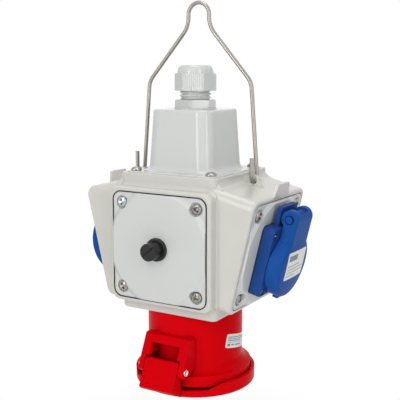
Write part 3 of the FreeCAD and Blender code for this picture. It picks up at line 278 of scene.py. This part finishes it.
def pan_screw(radius, head_r, head_h, length):
    """Pan-head screw with its head's underside at zero and a rolled thread on its shank. Its smaller
    sizes are shares of these four."""
    pitch, root_r, tip_r, lead_r = 0.35 * radius, 0.82 * radius, 0.3 * radius, 0.8 * radius
    crown_start = 0.34
    turns = int((length - radius) / pitch)
    shank = [(tip_r, -length), (lead_r, -length + 0.5 * radius)]
    for k in range(turns):
        shank += [(radius, (k - turns) * pitch), (root_r, (k - turns + 0.5) * pitch)]
    head = [(radius, 0), (0.93 * head_r, 0), (head_r, 0.08 * head_h), (head_r, crown_start * head_h)]
    for step in range(1, 7):
        a = math.radians(14 * step)
        head.append((head_r * math.cos(a), head_h * (crown_start + (1 - crown_start) * math.sin(a))))
    blank = ring_solid("pan_screw", turned(shank + head, 28), capped=True)
    return cut_out(blank, cross_recess(0.7 * head_r, 0.19 * head_r, 0.75 * head_h, head_h))


def screw_seats(node, axes, head_h):
    """Where a set's four screws stand: the middle of each one under its head."""
    local = along(node, axes)
    middle = (local.min(0) + local.max(0)) / 2
    seats = []
    for side in (-1, 1):
        for up in (-1, 1):
            mine = local[((local[:, 0] - middle[0]) * side > 0) & ((local[:, 1] - middle[1]) * up > 0)]
            centre = (mine.min(0) + mine.max(0)) / 2
            seats.append(Vector((centre[0], centre[1], mine[:, 2].max() - head_h * mm)))
    return seats


def screw_set(node, axes, screw, head_h, materials, odd_one=None):
    """Four screws for a set, each left at a turn of its own; an odd one takes the second material."""
    first_turn, further_turn = 23, 71
    built = bmesh.new()
    for k, seat in enumerate(screw_seats(node, axes, head_h)):
        before = len(built.faces)
        built.from_mesh(screw)
        built.faces.ensure_lookup_table()
        fresh = built.faces[before:]
        stand = Matrix.Rotation(math.radians(first_turn + further_turn * k), 4, "Z")
        stand.translation = seat
        bmesh.ops.transform(built, matrix=axes.to_4x4() @ stand,
                            verts=list({vertex for face in fresh for vertex in face.verts}))
        for face in fresh:
            face.material_index = 1 if k == odd_one else 0
    mesh = bpy.data.meshes.new(node)
    built.to_mesh(mesh)
    built.free()
    mesh.set_sharp_from_angle(angle=math.radians(30))
    piece = shown("crosshead_" + node, mesh, materials, "box")
    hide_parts(node)


def headed_metal(name, shade, stain, roughness):
    """Cold-headed metal: bright, with a cloud of wash stain and the tool's fine scuffs in its gloss.
    Real scuffs are under 0.1 mm wide and would not show, so they are drawn at 0.6 mm."""
    stain_size, scuff_size = 3 * mm, 0.6 * mm
    material, tree = new_material(name)
    place = add(tree, "ShaderNodeTexCoord")
    cloud = add(tree, "ShaderNodeTexNoise",
                {"Vector": place.outputs["Object"], "Scale": 1 / stain_size, "Detail": 2.0})
    tint = add(tree, "ShaderNodeMix",
               {"Factor": cloud.outputs["Fac"], "A": linear(stain), "B": linear(shade)},
               data_type="RGBA")
    scuff = add(tree, "ShaderNodeTexNoise", {"Vector": place.outputs["Object"], "Scale": 1 / scuff_size})
    gloss = add(tree, "ShaderNodeMapRange",
                {"Value": scuff.outputs["Fac"], "To Min": roughness - 0.08, "To Max": roughness + 0.1})
    bare = add(tree, "ShaderNodeBsdfPrincipled",
               {"Base Color": tint.outputs["Result"], "Metallic": 1.0,
                "Roughness": gloss.outputs["Result"]})
    add(tree, "ShaderNodeOutputMaterial", {"Surface": bare.outputs["BSDF"]})
    return material


# Stainless steel, headed and washed: warm grey with a brownish cast. Zinc plate is cooler and paler.
stainless = headed_metal("headed_stainless", "#B7B3AE", "#827D78", 0.22)
zinc = headed_metal("zinc_plated_steel", "#C9D3D9", "#9FB0BA", 0.2)

plate_screw = pan_screw(m4_r, m4_head_r, m4_head_h, plate_screw_length)
for bay in all_bays:
    screw_set(bay + "_plate_screws", bay_axes(bay), plate_screw, m4_head_h, [stainless, zinc],
              odd_one=1 if bay == "front" else None)
upright = Matrix.Identity(3)
for node, length in (("cap_screws", cap_screw_length), ("cee_screws", cee_screw_length)):
    screw_set(node, upright, pan_screw(m4_r, m4_head_r, m4_head_h, length), m4_head_h, [stainless])
socket_screw = pan_screw(m3_r, m3_head_r, m3_head_h, socket_screw_length)
for side in sides:
    screw_set(side + "_socket_screws", bay_axes(side), socket_screw, m3_head_h, [stainless])

# Cable gland: a hexagon body with a coarse moulded thread, a ribbed dome nut on it and a rubber sleeve.
# Body, nut and washer are moulded in polyamide, and a locknut holds the body under the tower's roof.

# Polyamide, smooth and a little milky: cool pale grey with small clear lights on each facet.
polyamide = moulded("moulded_polyamide", "#D2D4D2", "#CACDCB", roughness=0.12, specular=0.65)
dress(polyamide, "gland_locknut", "gland_washer")
dress(epdm, "gland_seal")

# Lengths are in mm. Rooms are clearances, and shares are parts of a thread pitch to each side of a crest.
gland_flats, corner_round = 27.0, 0.2
gland_bore, gland_pocket, pocket_room = 7.0, 9.2, 0.3
foot_r, foot_chamfer = 12.3, 0.8
hex_h, hex_turn = 5.8, math.radians(43.2)
edge_in, edge_up = 0.5, 0.3
chamfer_h, chamfer_slope = 0.8, 2
crest_r, root_r, thread_pitch, run_out = 11.6, 10.3, 2.5, 0.8
crest_share, flank_share = 0.17, 0.37
rings_per_pitch = 20
gland_low, gland_high = [corner[2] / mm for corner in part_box("gland_body")]
pocket_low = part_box("gland_seal")[0][2] / mm - pocket_room
hex_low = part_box("gland_washer")[1][2] / mm
hex_high = hex_low + hex_h
corner_r = gland_flats / 2 / math.cos(math.pi / 6) - corner_round


def facet_angle(angle, turn):
    """Angle from the middle of the hexagon flat that lies this way."""
    return (angle - turn) % (math.pi / 3) - math.pi / 6


def hexagon(turn, limit):
    """Outline of a hexagon with its corners taken back to a round of the limit's radius."""
    return lambda angle: min(gland_flats / 2 / math.cos(facet_angle(angle, turn)), limit)


def thread(height):
    """Outline of the thread at a height: a trapezoid wound on the root, fading out at both ends."""
    fade = min(1, (height - hex_high) / run_out, (gland_high - height) / run_out)

    def outline(angle):
        off_crest = abs(((height - hex_high) / thread_pitch - angle / (2 * math.pi)) % 1 - 0.5)
        rise = min(1, max(0, (flank_share - off_crest) / (flank_share - crest_share)))
        return root_r + (crest_r - root_r) * fade * rise

    return outline


def wound(levels, count, turn):
    """Rings of points from (height, radius or outline) pairs in mm, starting on a hexagon corner."""
    angles = [turn + 2 * math.pi * k / count for k in range(count)]
    rings = []
    for height, outline in levels:
        radii = [outline(a) if callable(outline) else outline for a in angles]
        rings.append([(r * mm * math.cos(a), r * mm * math.sin(a), height * mm)
                      for r, a in zip(radii, angles)])
    return rings


levels = [(gland_low, foot_r - foot_chamfer), (gland_low + foot_chamfer, foot_r), (hex_low, foot_r)]
levels.append((hex_low, hexagon(hex_turn, corner_r - edge_in)))
levels.append((hex_low + edge_up, hexagon(hex_turn, corner_r)))
for drop in np.linspace(chamfer_h, 0, 5):
    levels.append((hex_high - drop, hexagon(hex_turn, corner_r - chamfer_slope * (chamfer_h - drop))))
for height in np.arange(hex_high, gland_high, thread_pitch / rings_per_pitch):
    levels.append((height, thread(height)))
levels += [(gland_high, gland_pocket), (pocket_low, gland_pocket)]
levels += [(pocket_low, gland_bore), (gland_low, gland_bore)]
gland_mesh = ring_solid("threaded_gland_body", wound(levels, 96, hex_turn))
gland = shown("threaded_gland_body", gland_mesh, [polyamide], "box")
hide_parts("gland_body")

nut_turn = math.radians(23.5)
nut_low, nut_high = [corner[2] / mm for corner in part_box("gland_dome_nut")]
dome_h, shoulder_h, dome_step = 5.9, 1.1, 0.15
shoulder_r, dome_r, dome_top_r, mouth_r, mouth_chamfer = 14.3, 13.3, 9.9, 8.0, 0.5
seal_room, nut_room = 3.35, 0.3
rib_pitch, rib_depth, ribbed_half = 1.5, 0.22, 6.0
shoulder_high = nut_high - dome_h
shoulder_low = shoulder_high - shoulder_h
dome_low = shoulder_high + dome_step


def ribbed(limit):
    """Outline of the nut: a hexagon with upright ribs on its flats, inside a round of this radius."""
    def outline(angle):
        turned_by = facet_angle(angle, nut_turn)
        off_middle = gland_flats / 2 * math.tan(turned_by)
        groove = 0
        if abs(off_middle) < ribbed_half:
            groove = rib_depth * (0.5 - 0.5 * math.cos(2 * math.pi * off_middle / rib_pitch))
        return min((gland_flats / 2 - groove) / math.cos(turned_by), limit)

    return outline


levels = [(nut_low, ribbed(corner_r - edge_in)), (nut_low + edge_up, ribbed(corner_r))]
for a in np.radians(np.linspace(0, 90, 7)):
    levels.append((shoulder_low + shoulder_h * math.sin(a),
                   ribbed(shoulder_r + (corner_r - shoulder_r) * math.cos(a))))
for a in np.radians(np.linspace(0, 90, 9)):
    levels.append((dome_low + (nut_high - dome_low) * math.sin(a),
                   dome_top_r + (dome_r - dome_top_r) * math.cos(a)))
pocket_r = gland_pocket + nut_room
levels += [(nut_high, mouth_r + mouth_chamfer), (nut_high - mouth_chamfer, mouth_r)]
levels += [(gland_high + seal_room, mouth_r), (gland_high + seal_room, pocket_r)]
levels += [(gland_high + nut_room, pocket_r), (gland_high + nut_room, foot_r), (nut_low, foot_r)]
nut_mesh = ring_solid("ribbed_dome_nut", wound(levels, 360, nut_turn), sharp=40)
nut = shown("ribbed_dome_nut", nut_mesh, [polyamide], "gland_nut")
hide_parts("gland_dome_nut")

# Fuse holder: a black flange and bayonet cap on the front cover, with its nut and fuse behind.
# Holder, nut and cap are moulded in glass-filled polyamide; the cap has grip notches and a driver slot.

# Glass-filled polyamide: near black, with a dull gloss from the fibres at its surface.
black_polyamide = moulded("moulded_black_polyamide", "#232324", "#1B1B1C", roughness=0.38, specular=0.3)
dress(black_polyamide, "fuse_holder", "fuse_holder_nut", "fuse_cap")
dress(epdm, "fuse_holder_washer")

# Fuse glass, drawn tube: clear, with the faint waves of its drawing in the gloss.
wave_size = 2 * mm
fuse_glass, tree = new_material("drawn_fuse_glass")
place = add(tree, "ShaderNodeTexCoord")
waves = add(tree, "ShaderNodeTexNoise", {"Vector": place.outputs["Object"], "Scale": 1 / wave_size})
gloss = add(tree, "ShaderNodeMapRange", {"Value": waves.outputs["Fac"], "To Min": 0.02, "To Max": 0.1})
tube = add(tree, "ShaderNodeBsdfPrincipled",
           {"Base Color": linear("#F2F5F4"), "Roughness": gloss.outputs["Result"], "IOR": 1.47,
            "Transmission Weight": 1.0})
add(tree, "ShaderNodeOutputMaterial", {"Surface": tube.outputs["BSDF"]})
dress(fuse_glass, "fuse_link")

# Nickel-plated brass, pressed: warm, bright and clean where contacts wipe it.
nickel_brass = headed_metal("nickel_plated_brass", "#C8BEA6", "#A99A7C", 0.25)
dress(nickel_brass, "fuse_ferrules")

# Mains sockets: blue flanges with sprung lids, screwed on the tilted plates of the left and right bays.
# Base, insert and lid are moulded in polyamide with a fine grain; contacts and clips are plated brass.

# Blue polyamide, satin: a deep clear blue that shows the lamps only along its rounds.
# The bases take a darker, greyer copy of the same blue: painted shade with a painted sheen.
blue_polyamide = moulded("moulded_blue_polyamide", "#2056A4", "#194A95", roughness=0.34, specular=0.03,
                         soft_edge=1.6)
shaded_blue_polyamide = moulded("moulded_shaded_blue_polyamide", "#274C90", "#214488", roughness=0.36,
                           specular=0.03, soft_edge=1.0)


def pin_polyamide(side):
    """The same blue, with a dark ring of painted shade round the head of a hinge pin."""
    shade_ring_in, shade_ring_out = 0.6 * mm, 0.4 * mm
    low, high = [Vector(corner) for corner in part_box(side + "_hinge_pin")]
    head_r = (high.z - low.z) / 2
    material, tree = new_material(side + "_pin_polyamide")
    place = add(tree, "ShaderNodeTexCoord")
    from_middle = add(tree, "ShaderNodeVectorMath", {0: place.outputs["Object"], 1: (low + high) / 2},
                      operation="SUBTRACT")
    across_pin = add(tree, "ShaderNodeVectorMath", {0: from_middle.outputs["Vector"], 1: (1, 0, 1)},
                     operation="MULTIPLY")
    from_axis = add(tree, "ShaderNodeVectorMath", {0: across_pin.outputs["Vector"]}, operation="LENGTH")
    # Painted shade: the blue darkens to near black in a ring at the edge of the pin's head.
    painted_shade = add(tree, "ShaderNodeMapRange",
                {"Value": from_axis.outputs["Value"], "From Min": head_r - shade_ring_in,
                 "From Max": head_r - shade_ring_out})
    tint = add(tree, "ShaderNodeMix",
               {"Factor": painted_shade.outputs["Result"], "A": linear("#1E4E9A"), "B": linear("#0A1F49")},
               data_type="RGBA")
    pin = add(tree, "ShaderNodeBsdfPrincipled",
              {"Base Color": tint.outputs["Result"], "Roughness": 0.34, "Specular IOR Level": 0.03})
    add(tree, "ShaderNodeOutputMaterial", {"Surface": pin.outputs["BSDF"]})
    return material


for side in sides:
    dress(blue_polyamide, side + "_socket_insert", side + "_lid")
    dress(shaded_blue_polyamide, side + "_socket_base")
    dress(pin_polyamide(side), side + "_hinge_pin")
    dress(nickel_brass, side + "_socket_contacts", side + "_earth_clips")
    dress(stainless, side + "_lid_spring")
    dress(epdm, side + "_lid_seal")

# Five-pole socket: a round red body with a window hinge, a flared mouth and a sprung lid with a tongue.
# Body and lid are moulded in polyamide, a dark insert carries the plated contacts, and the lid turns on
# a steel pin whose hollow ends are flared over the cheeks of the window.

# Red polyamide, satin: a full clear red with hardly a glint, and a deeper red painted in its recesses as
# shade.
red_polyamide = moulded("moulded_red_polyamide", "#DE0310", "#D2010C", roughness=0.28, specular=0.02,
                        soft_edge=0.9, painted_recess_shade="#6E0208")
# Red thermoplastic rubber: the same red, deeper and dull, so that the seams stay red in their depth.
red_rubber = moulded("moulded_red_rubber", "#9A0A10", "#86060B", roughness=0.6, specular=0.1)
# Dark polyamide, moulded with a fine grain: an even anthracite with no clear lights.
dark_polyamide = moulded("moulded_dark_polyamide", "#3B3C3E", "#313234", roughness=0.45, specular=0.35)
# Polished steel: bright and clean.
polished_steel = headed_metal("polished_pin_steel", "#E8E5E0", "#CFCBC6", 0.16)
dress(red_polyamide, "cee_body", "cee_lid")
dress(red_rubber, "cee_lid_seal")
dress(dark_polyamide, "cee_insert")
dress(nickel_brass, "cee_contacts")
dress(stainless, "cee_lid_spring")

# One end of the pin, in mm: out along the cheek, over the flare and down into the hollow.
pin_r, flare_r, flare_h, plain_head_h = 1.7, 2.5, 0.75, 0.5
pin_low, pin_high = [Vector(corner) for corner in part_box("cee_hinge_pin")]
cheek_face = (pin_high.x - pin_low.x) / 2 / mm - plain_head_h
pin_end = cheek_face + flare_h
flared = [(pin_r, cheek_face), (flare_r, cheek_face), (flare_r, pin_end - 0.35), (2.42, pin_end - 0.12),
          (2.2, pin_end), (2.0, pin_end - 0.08), (1.6, pin_end - 0.3), (1.0, pin_end - 0.5),
          (0.3, pin_end - 0.6)]
other_end = [(r, -x) for r, x in reversed(flared)]
pin_mesh = ring_solid("flared_hinge_pin", turned(other_end + flared, 32), capped=True)
pin_mesh.transform(Matrix.Translation((pin_low + pin_high) / 2) @ Matrix.Rotation(math.pi / 2, 4, "Y"))
flared_pin = shown("flared_hinge_pin", pin_mesh, [polished_steel], "box")
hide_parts("cee_hinge_pin")


def surface_of(node):
    """Search tree over a CAD node's surface, to lay other pieces on it."""
    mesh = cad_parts[node].data
    return BVHTree.FromPolygons([vertex.co for vertex in mesh.vertices],
                                [face.vertices for face in mesh.polygons])


# The tongue's rim is a low half-round bead along its two sides and its lower edge.
tongue_half = 14.3
rim_inset, rim_half, rim_h, rim_corner_r, rim_sunk = 1.5, 1.2, 0.6, 3.0, 0.1
rim_low, rim_high = 9.4, 18.0
in_front = -200
rim_x = tongue_half - rim_inset
turn_z = rim_low + rim_corner_r
rim_path = [(-rim_x, z) for z in np.linspace(rim_high, turn_z, 5)[:-1]]
for turn, way in ((180, -1), (270, 1)):
    for a in np.radians(np.linspace(turn, turn + 90, 7)):
        rim_path.append((way * (rim_x - rim_corner_r) + rim_corner_r * math.cos(a),
                         turn_z + rim_corner_r * math.sin(a)))
rim_path += [(rim_x, z) for z in np.linspace(turn_z, rim_high, 5)[1:]]
tongue_surface = surface_of("cee_lid")
rim_rings = []
for k, (x, z) in enumerate(rim_path):
    place, outward, *_ = tongue_surface.ray_cast(Vector((x, in_front, z)) * mm, Vector((0, 1, 0)))
    before, after = rim_path[max(k - 1, 0)], rim_path[min(k + 1, len(rim_path) - 1)]
    ahead = Vector((after[0] - before[0], 0, after[1] - before[1]))
    aside = ahead.cross(outward).normalized()
    ring = []
    for a in np.linspace(0, math.pi, 9):
        offset = rim_half * math.cos(a) * aside + (rim_h * math.sin(a) - rim_sunk) * outward
        ring.append(place + offset * mm)
    rim_rings.append(ring)
rim_mesh = ring_solid("tongue_rim", rim_rings, capped=True)
shown("tongue_rim", rim_mesh, [red_polyamide], "cee_lid")

# Terminal strip: a moulded bar of clamps on the floor of the box, where the supply branches.
# The bar is the dark polyamide of the socket's insert, and its clamping screws are plated brass.
dress(dark_polyamide, "terminal_strip")
dress(nickel_brass, "terminal_screws")

# Bail: one length of 3 mm stainless wire, bent cold over a former and hooked through the two ears.
# Nothing fastens it: its hooks spring outwards against the housing.

# Drawn stainless wire: a dull grey with fine streaks along its length from the drawing die.
# Real streaks are under 0.1 mm wide and would not show, so they are drawn at 0.5 mm. The bail lies
# in one upright plane, so streaks that vary mostly across that plane follow every bend.
streak_width, streak_length = 0.5 * mm, 30 * mm
drawn_wire, tree = new_material("drawn_stainless_wire")
place = add(tree, "ShaderNodeTexCoord")
drawn = add(tree, "ShaderNodeMapping",
            {"Vector": place.outputs["Object"],
             "Scale": (1 / streak_length, 1 / streak_width, 1 / streak_length)})
streaks = add(tree, "ShaderNodeTexNoise", {"Vector": drawn.outputs["Vector"], "Scale": 1.0, "Detail": 2.0})
tint = add(tree, "ShaderNodeMix",
           {"Factor": streaks.outputs["Fac"], "A": linear("#8C8883"), "B": linear("#B4B0AA")},
           data_type="RGBA")
gloss = add(tree, "ShaderNodeMapRange", {"Value": streaks.outputs["Fac"], "To Min": 0.22, "To Max": 0.38})
wire = add(tree, "ShaderNodeBsdfPrincipled",
           {"Base Color": tint.outputs["Result"], "Metallic": 1.0, "Roughness": gloss.outputs["Result"]})
add(tree, "ShaderNodeOutputMaterial", {"Surface": wire.outputs["BSDF"]})
dress(drawn_wire, "bail")

# Labels: blank printed sheets of white vinyl film, one on the right lid and one round the red socket.
# They carry only ruled fields, are cut with rounded corners and follow the surface they are pressed on.


def printed_film(name, shade, worn_shade):
    """Film with a satin varnish, a little yellowed and dulled in patches by hands."""
    patch_size = 9 * mm
    material, tree = new_material(name)
    place = add(tree, "ShaderNodeTexCoord")
    patches = add(tree, "ShaderNodeTexNoise",
                  {"Vector": place.outputs["Object"], "Scale": 1 / patch_size, "Detail": 3.0})
    tint = add(tree, "ShaderNodeMix",
               {"Factor": patches.outputs["Fac"], "A": linear(worn_shade), "B": linear(shade)},
               data_type="RGBA")
    gloss = add(tree, "ShaderNodeMapRange", {"Value": patches.outputs["Fac"], "To Min": 0.3, "To Max": 0.5})
    film = add(tree, "ShaderNodeBsdfPrincipled",
               {"Base Color": tint.outputs["Result"], "Roughness": gloss.outputs["Result"],
                "Specular IOR Level": 0.3})
    add(tree, "ShaderNodeOutputMaterial", {"Surface": film.outputs["BSDF"]})
    return material


# White vinyl film: bright and slightly warm. Its printing ink is a thin blue grey.
white_film = printed_film("white_vinyl_film", "#EDEEEC", "#E2E3E0")
grey_ink = printed_film("grey_printing_ink", "#7C8894", "#6E7A86")


def label(name, lay, width, height, rules, body):
    """Closed thin sheet on a surface. Rules are (left, right, low, high) inked fields in mm from a corner,
    and lay gives the point and the outward direction of the surface at a place on the sheet."""
    corner_r, thickness, ground, mesh_step = 1.6, 0.12, 0.03, 1.25
    rounded = np.linspace(0, corner_r, 6)
    between = np.arange(2 * mesh_step, width - 2, mesh_step)
    across = sorted({0.0, width, *rounded, *(width - rounded), *between,
                     *[edge for rule in rules for edge in rule[:2]]})
    up = sorted({*np.linspace(0, height, 9), *[edge for rule in rules for edge in rule[2:]]})
    spots = []
    for t in up:
        for s in across:
            into = corner_r - min(s, width - s, corner_r)
            cut = corner_r - math.sqrt(corner_r ** 2 - into ** 2)
            spots.append(lay(s, cut + t * (height - 2 * cut) / height))
    points = []
    for lift in (ground, ground + thickness):
        points += [spot + lift * mm * outward for spot, outward in spots]
    wide, tall = len(across), len(up)
    layer = wide * tall
    faces, inked = [], []
    for j in range(tall - 1):
        for i in range(wide - 1):
            cell = [j * wide + i, j * wide + i + 1, (j + 1) * wide + i + 1, (j + 1) * wide + i]
            s, t = (across[i] + across[i + 1]) / 2, (up[j] + up[j + 1]) / 2
            printed = any(left < s < right and low < t < high for left, right, low, high in rules)
            faces += [tuple(reversed(cell)), tuple(layer + corner for corner in cell)]
            inked += [0, int(printed)]
    rim = [*range(wide), *[j * wide + wide - 1 for j in range(1, tall)]]
    rim += [*[layer - 1 - i for i in range(1, wide)], *[j * wide for j in range(tall - 2, 0, -1)]]
    for here, there in zip(rim, rim[1:] + rim[:1]):
        faces.append((here, there, layer + there, layer + here))
        inked.append(0)
    mesh = bpy.data.meshes.new(name)
    mesh.from_pydata(points, [], faces)
    for face, ink in zip(mesh.polygons, inked):
        face.material_index = ink
    mesh.shade_smooth()
    mesh.set_sharp_from_angle(angle=math.radians(40))
    shown(name, mesh, [white_film, grey_ink], body)


lid_axes = bay_axes("right")
lid_surface = surface_of("right_lid")
right_plate_middle = Vector((61.05, 0, 106.6)) * mm
lid_label_size = (29.0, 20.8)
lid_label_low = (-14.3, -12.8)
clear_of_lid = 60


def on_right_lid(s, t):
    """Point of the right lid under a place on its label, seen square to the plate."""
    start = Vector((lid_label_low[0] + s, lid_label_low[1] + t, clear_of_lid)) * mm
    point, normal, *_ = lid_surface.ray_cast(right_plate_middle + lid_axes @ start,
                                             lid_axes @ Vector((0, 0, -1)))
    return point, normal


margin, row_h = 2.2, 0.55
rows = ((2.4, 16), (4.9, 26.6), (7.4, 26.6), (9.9, 21))
fields = [(margin, right, low, low + row_h) for low, right in rows] + [(margin, 15, 14, 18.2)]
label("lid_label", on_right_lid, *lid_label_size, fields, "right_lid")

socket_surface = surface_of("cee_body")
socket_r = 36.0
round_label_size = (28.0, 10.4)
round_label_turn, round_label_low = math.radians(-21.8), 31.9
round_label_tilt = math.radians(-12)


def on_red_socket(s, t):
    """Point of the red socket's round body under a place on its label."""
    c, n = math.cos(round_label_tilt), math.sin(round_label_tilt)
    a = round_label_turn + (c * s - n * t) / socket_r
    outward = Vector((math.cos(a), math.sin(a), 0))
    height = Vector((0, 0, round_label_low + n * s + c * t)) * mm
    point, *_ = socket_surface.ray_cast(height + 2 * socket_r * mm * outward, -outward)
    return point, outward


margin, row_h = 1.8, 0.6
rows = ((7.9, 26.2), (6.6, 26.2), (5.3, 20))
fields = [(margin, right, low, low + row_h) for low, right in rows]
fields += [(0.8, 27.2, 4.1, 4.35), (margin, 4.6, 1.4, 3.2), (6, 9.5, 1.9, 2.8), (11, 20, 1.9, 2.8)]
label("round_label", on_red_socket, *round_label_size, fields, "box")

# Studio: the box hangs clear of a white paper floor, so that its red lid can open downwards.
# A large soft key stands beside the camera and two tall strips draw the streaks on the plastic, with
# one lamp more on the right, one overhead and two behind.
scene = bpy.context.scene
scene.view_settings.view_transform = "Standard"
floor_reach, floor_level = 3.0, -75 * mm
floor_mesh = bpy.data.meshes.new("floor")
floor_corners = [(x * floor_reach, y * floor_reach, floor_level)
                 for x, y in ((-1, -1), (1, -1), (1, 1), (-1, 1))]
floor_mesh.from_pydata(floor_corners, [], [(0, 1, 2, 3)])
floor = bpy.data.objects.new("floor", floor_mesh)
scene.collection.objects.link(floor)


def background_rays(tree):
    """Socket that is 1 for the rays which show the background: camera, glossy and transmission."""
    ray = add(tree, "ShaderNodeLightPath")
    seen = add(tree, "ShaderNodeMath", {0: ray.outputs["Is Camera Ray"], 1: ray.outputs["Is Glossy Ray"]},
               operation="ADD")
    seen = add(tree, "ShaderNodeMath", {0: seen.outputs["Value"], 1: ray.outputs["Is Transmission Ray"]},
               operation="ADD", use_clamp=True)
    return seen.outputs["Value"]


# Paper: a matte white that keeps the soft shadow under the box and fades to plain white around it.
shadow_reach, fade_end, least_glow = 0.09, 0.2, 0.6
paper, tree = new_material("floor_paper")
matte = add(tree, "ShaderNodeBsdfDiffuse", {"Color": linear("#F4F4F4")})
glow = add(tree, "ShaderNodeEmission", {"Strength": 1.0})
place = add(tree, "ShaderNodeTexCoord")
away = add(tree, "ShaderNodeVectorMath", {0: place.outputs["Object"]}, operation="LENGTH")
fade = add(tree, "ShaderNodeMapRange",
           {"Value": away.outputs["Value"], "From Min": shadow_reach, "From Max": fade_end,
            "To Min": least_glow, "To Max": 1.0}, interpolation_type="SMOOTHSTEP")
share = add(tree, "ShaderNodeMath", {0: background_rays(tree), 1: fade.outputs["Result"]},
            operation="MULTIPLY")
both = add(tree, "ShaderNodeMixShader",
           {0: share.outputs["Value"], 1: matte.outputs["BSDF"], 2: glow.outputs["Emission"]})
add(tree, "ShaderNodeOutputMaterial", {"Surface": both.outputs["Shader"]})
floor_mesh.materials.append(paper)

# World: plain white where it is seen, and only a weak light on the box.
world = bpy.data.worlds.new("studio")
scene.world = world
world.use_nodes = True
tree = world.node_tree
tree.nodes.clear()
ambient = add(tree, "ShaderNodeBackground", {"Color": linear("#FFFFFF"), "Strength": 0.15})
white = add(tree, "ShaderNodeBackground", {"Color": linear("#FFFFFF"), "Strength": 1.0})
both = add(tree, "ShaderNodeMixShader",
           {0: background_rays(tree), 1: ambient.outputs["Background"], 2: white.outputs["Background"]})
add(tree, "ShaderNodeOutputWorld", {"Surface": both.outputs["Shader"]})

look_at = Vector((0, 0, 0.1391))
lamp_distance = 1.3


def around(azimuth, elevation, distance):
    """Point seen from the object's middle at these angles, azimuth 0 being in front."""
    a, e = math.radians(azimuth), math.radians(elevation)
    return look_at + distance * Vector((math.cos(e) * math.sin(a), -math.cos(e) * math.cos(a), math.sin(e)))


def aim(thing, place):
    """Puts a lamp or the camera at a place and turns it to the object's middle."""
    thing.location = place
    thing.rotation_euler = (look_at - place).to_track_quat("-Z", "Y").to_euler()


def soft_box(name, azimuth, elevation, width, height, watts, mirrored=True):
    """Area lamp turned to the object, its angles in degrees and its size in metres; one that isn't
    mirrored gives no glint."""
    lamp = bpy.data.lights.new(name, "AREA")
    lamp.shape = "RECTANGLE"
    lamp.size = width
    lamp.size_y = height
    lamp.energy = watts
    stand = bpy.data.objects.new(name, lamp)
    stand.visible_glossy = mirrored
    scene.collection.objects.link(stand)
    aim(stand, around(azimuth, elevation, lamp_distance))


soft_box("key", 24, 27, 0.6, 0.8, 5.4, mirrored=False)
soft_box("left_strip", -14, 14, 0.3, 0.9, 3.6)
soft_box("right_strip", 60, 14, 0.25, 0.9, 2.4)
soft_box("side", 60, 50, 0.5, 0.7, 1.2, mirrored=False)
soft_box("overhead", 0, 88, 0.8, 0.8, 6.2)
soft_box("rear_right", 150, 35, 0.7, 0.7, 3.0, mirrored=False)
soft_box("rear_left", 235, 30, 0.7, 0.7, 6.0, mirrored=False)

# Camera: its place, lens and shift are those that were fitted together with the sizes of the box.
camera_azimuth, camera_elevation, camera_distance = 30.94, 9.26, 0.5936
camera = bpy.data.cameras.new("camera")
camera.sensor_width = 36.0
camera.lens = 71.17
camera.shift_x = 0.0114
camera.shift_y = -0.0045
camera.clip_start = 0.01
eye = bpy.data.objects.new("camera", camera)
scene.collection.objects.link(eye)
aim(eye, around(camera_azimuth, camera_elevation, camera_distance))
scene.camera = eye
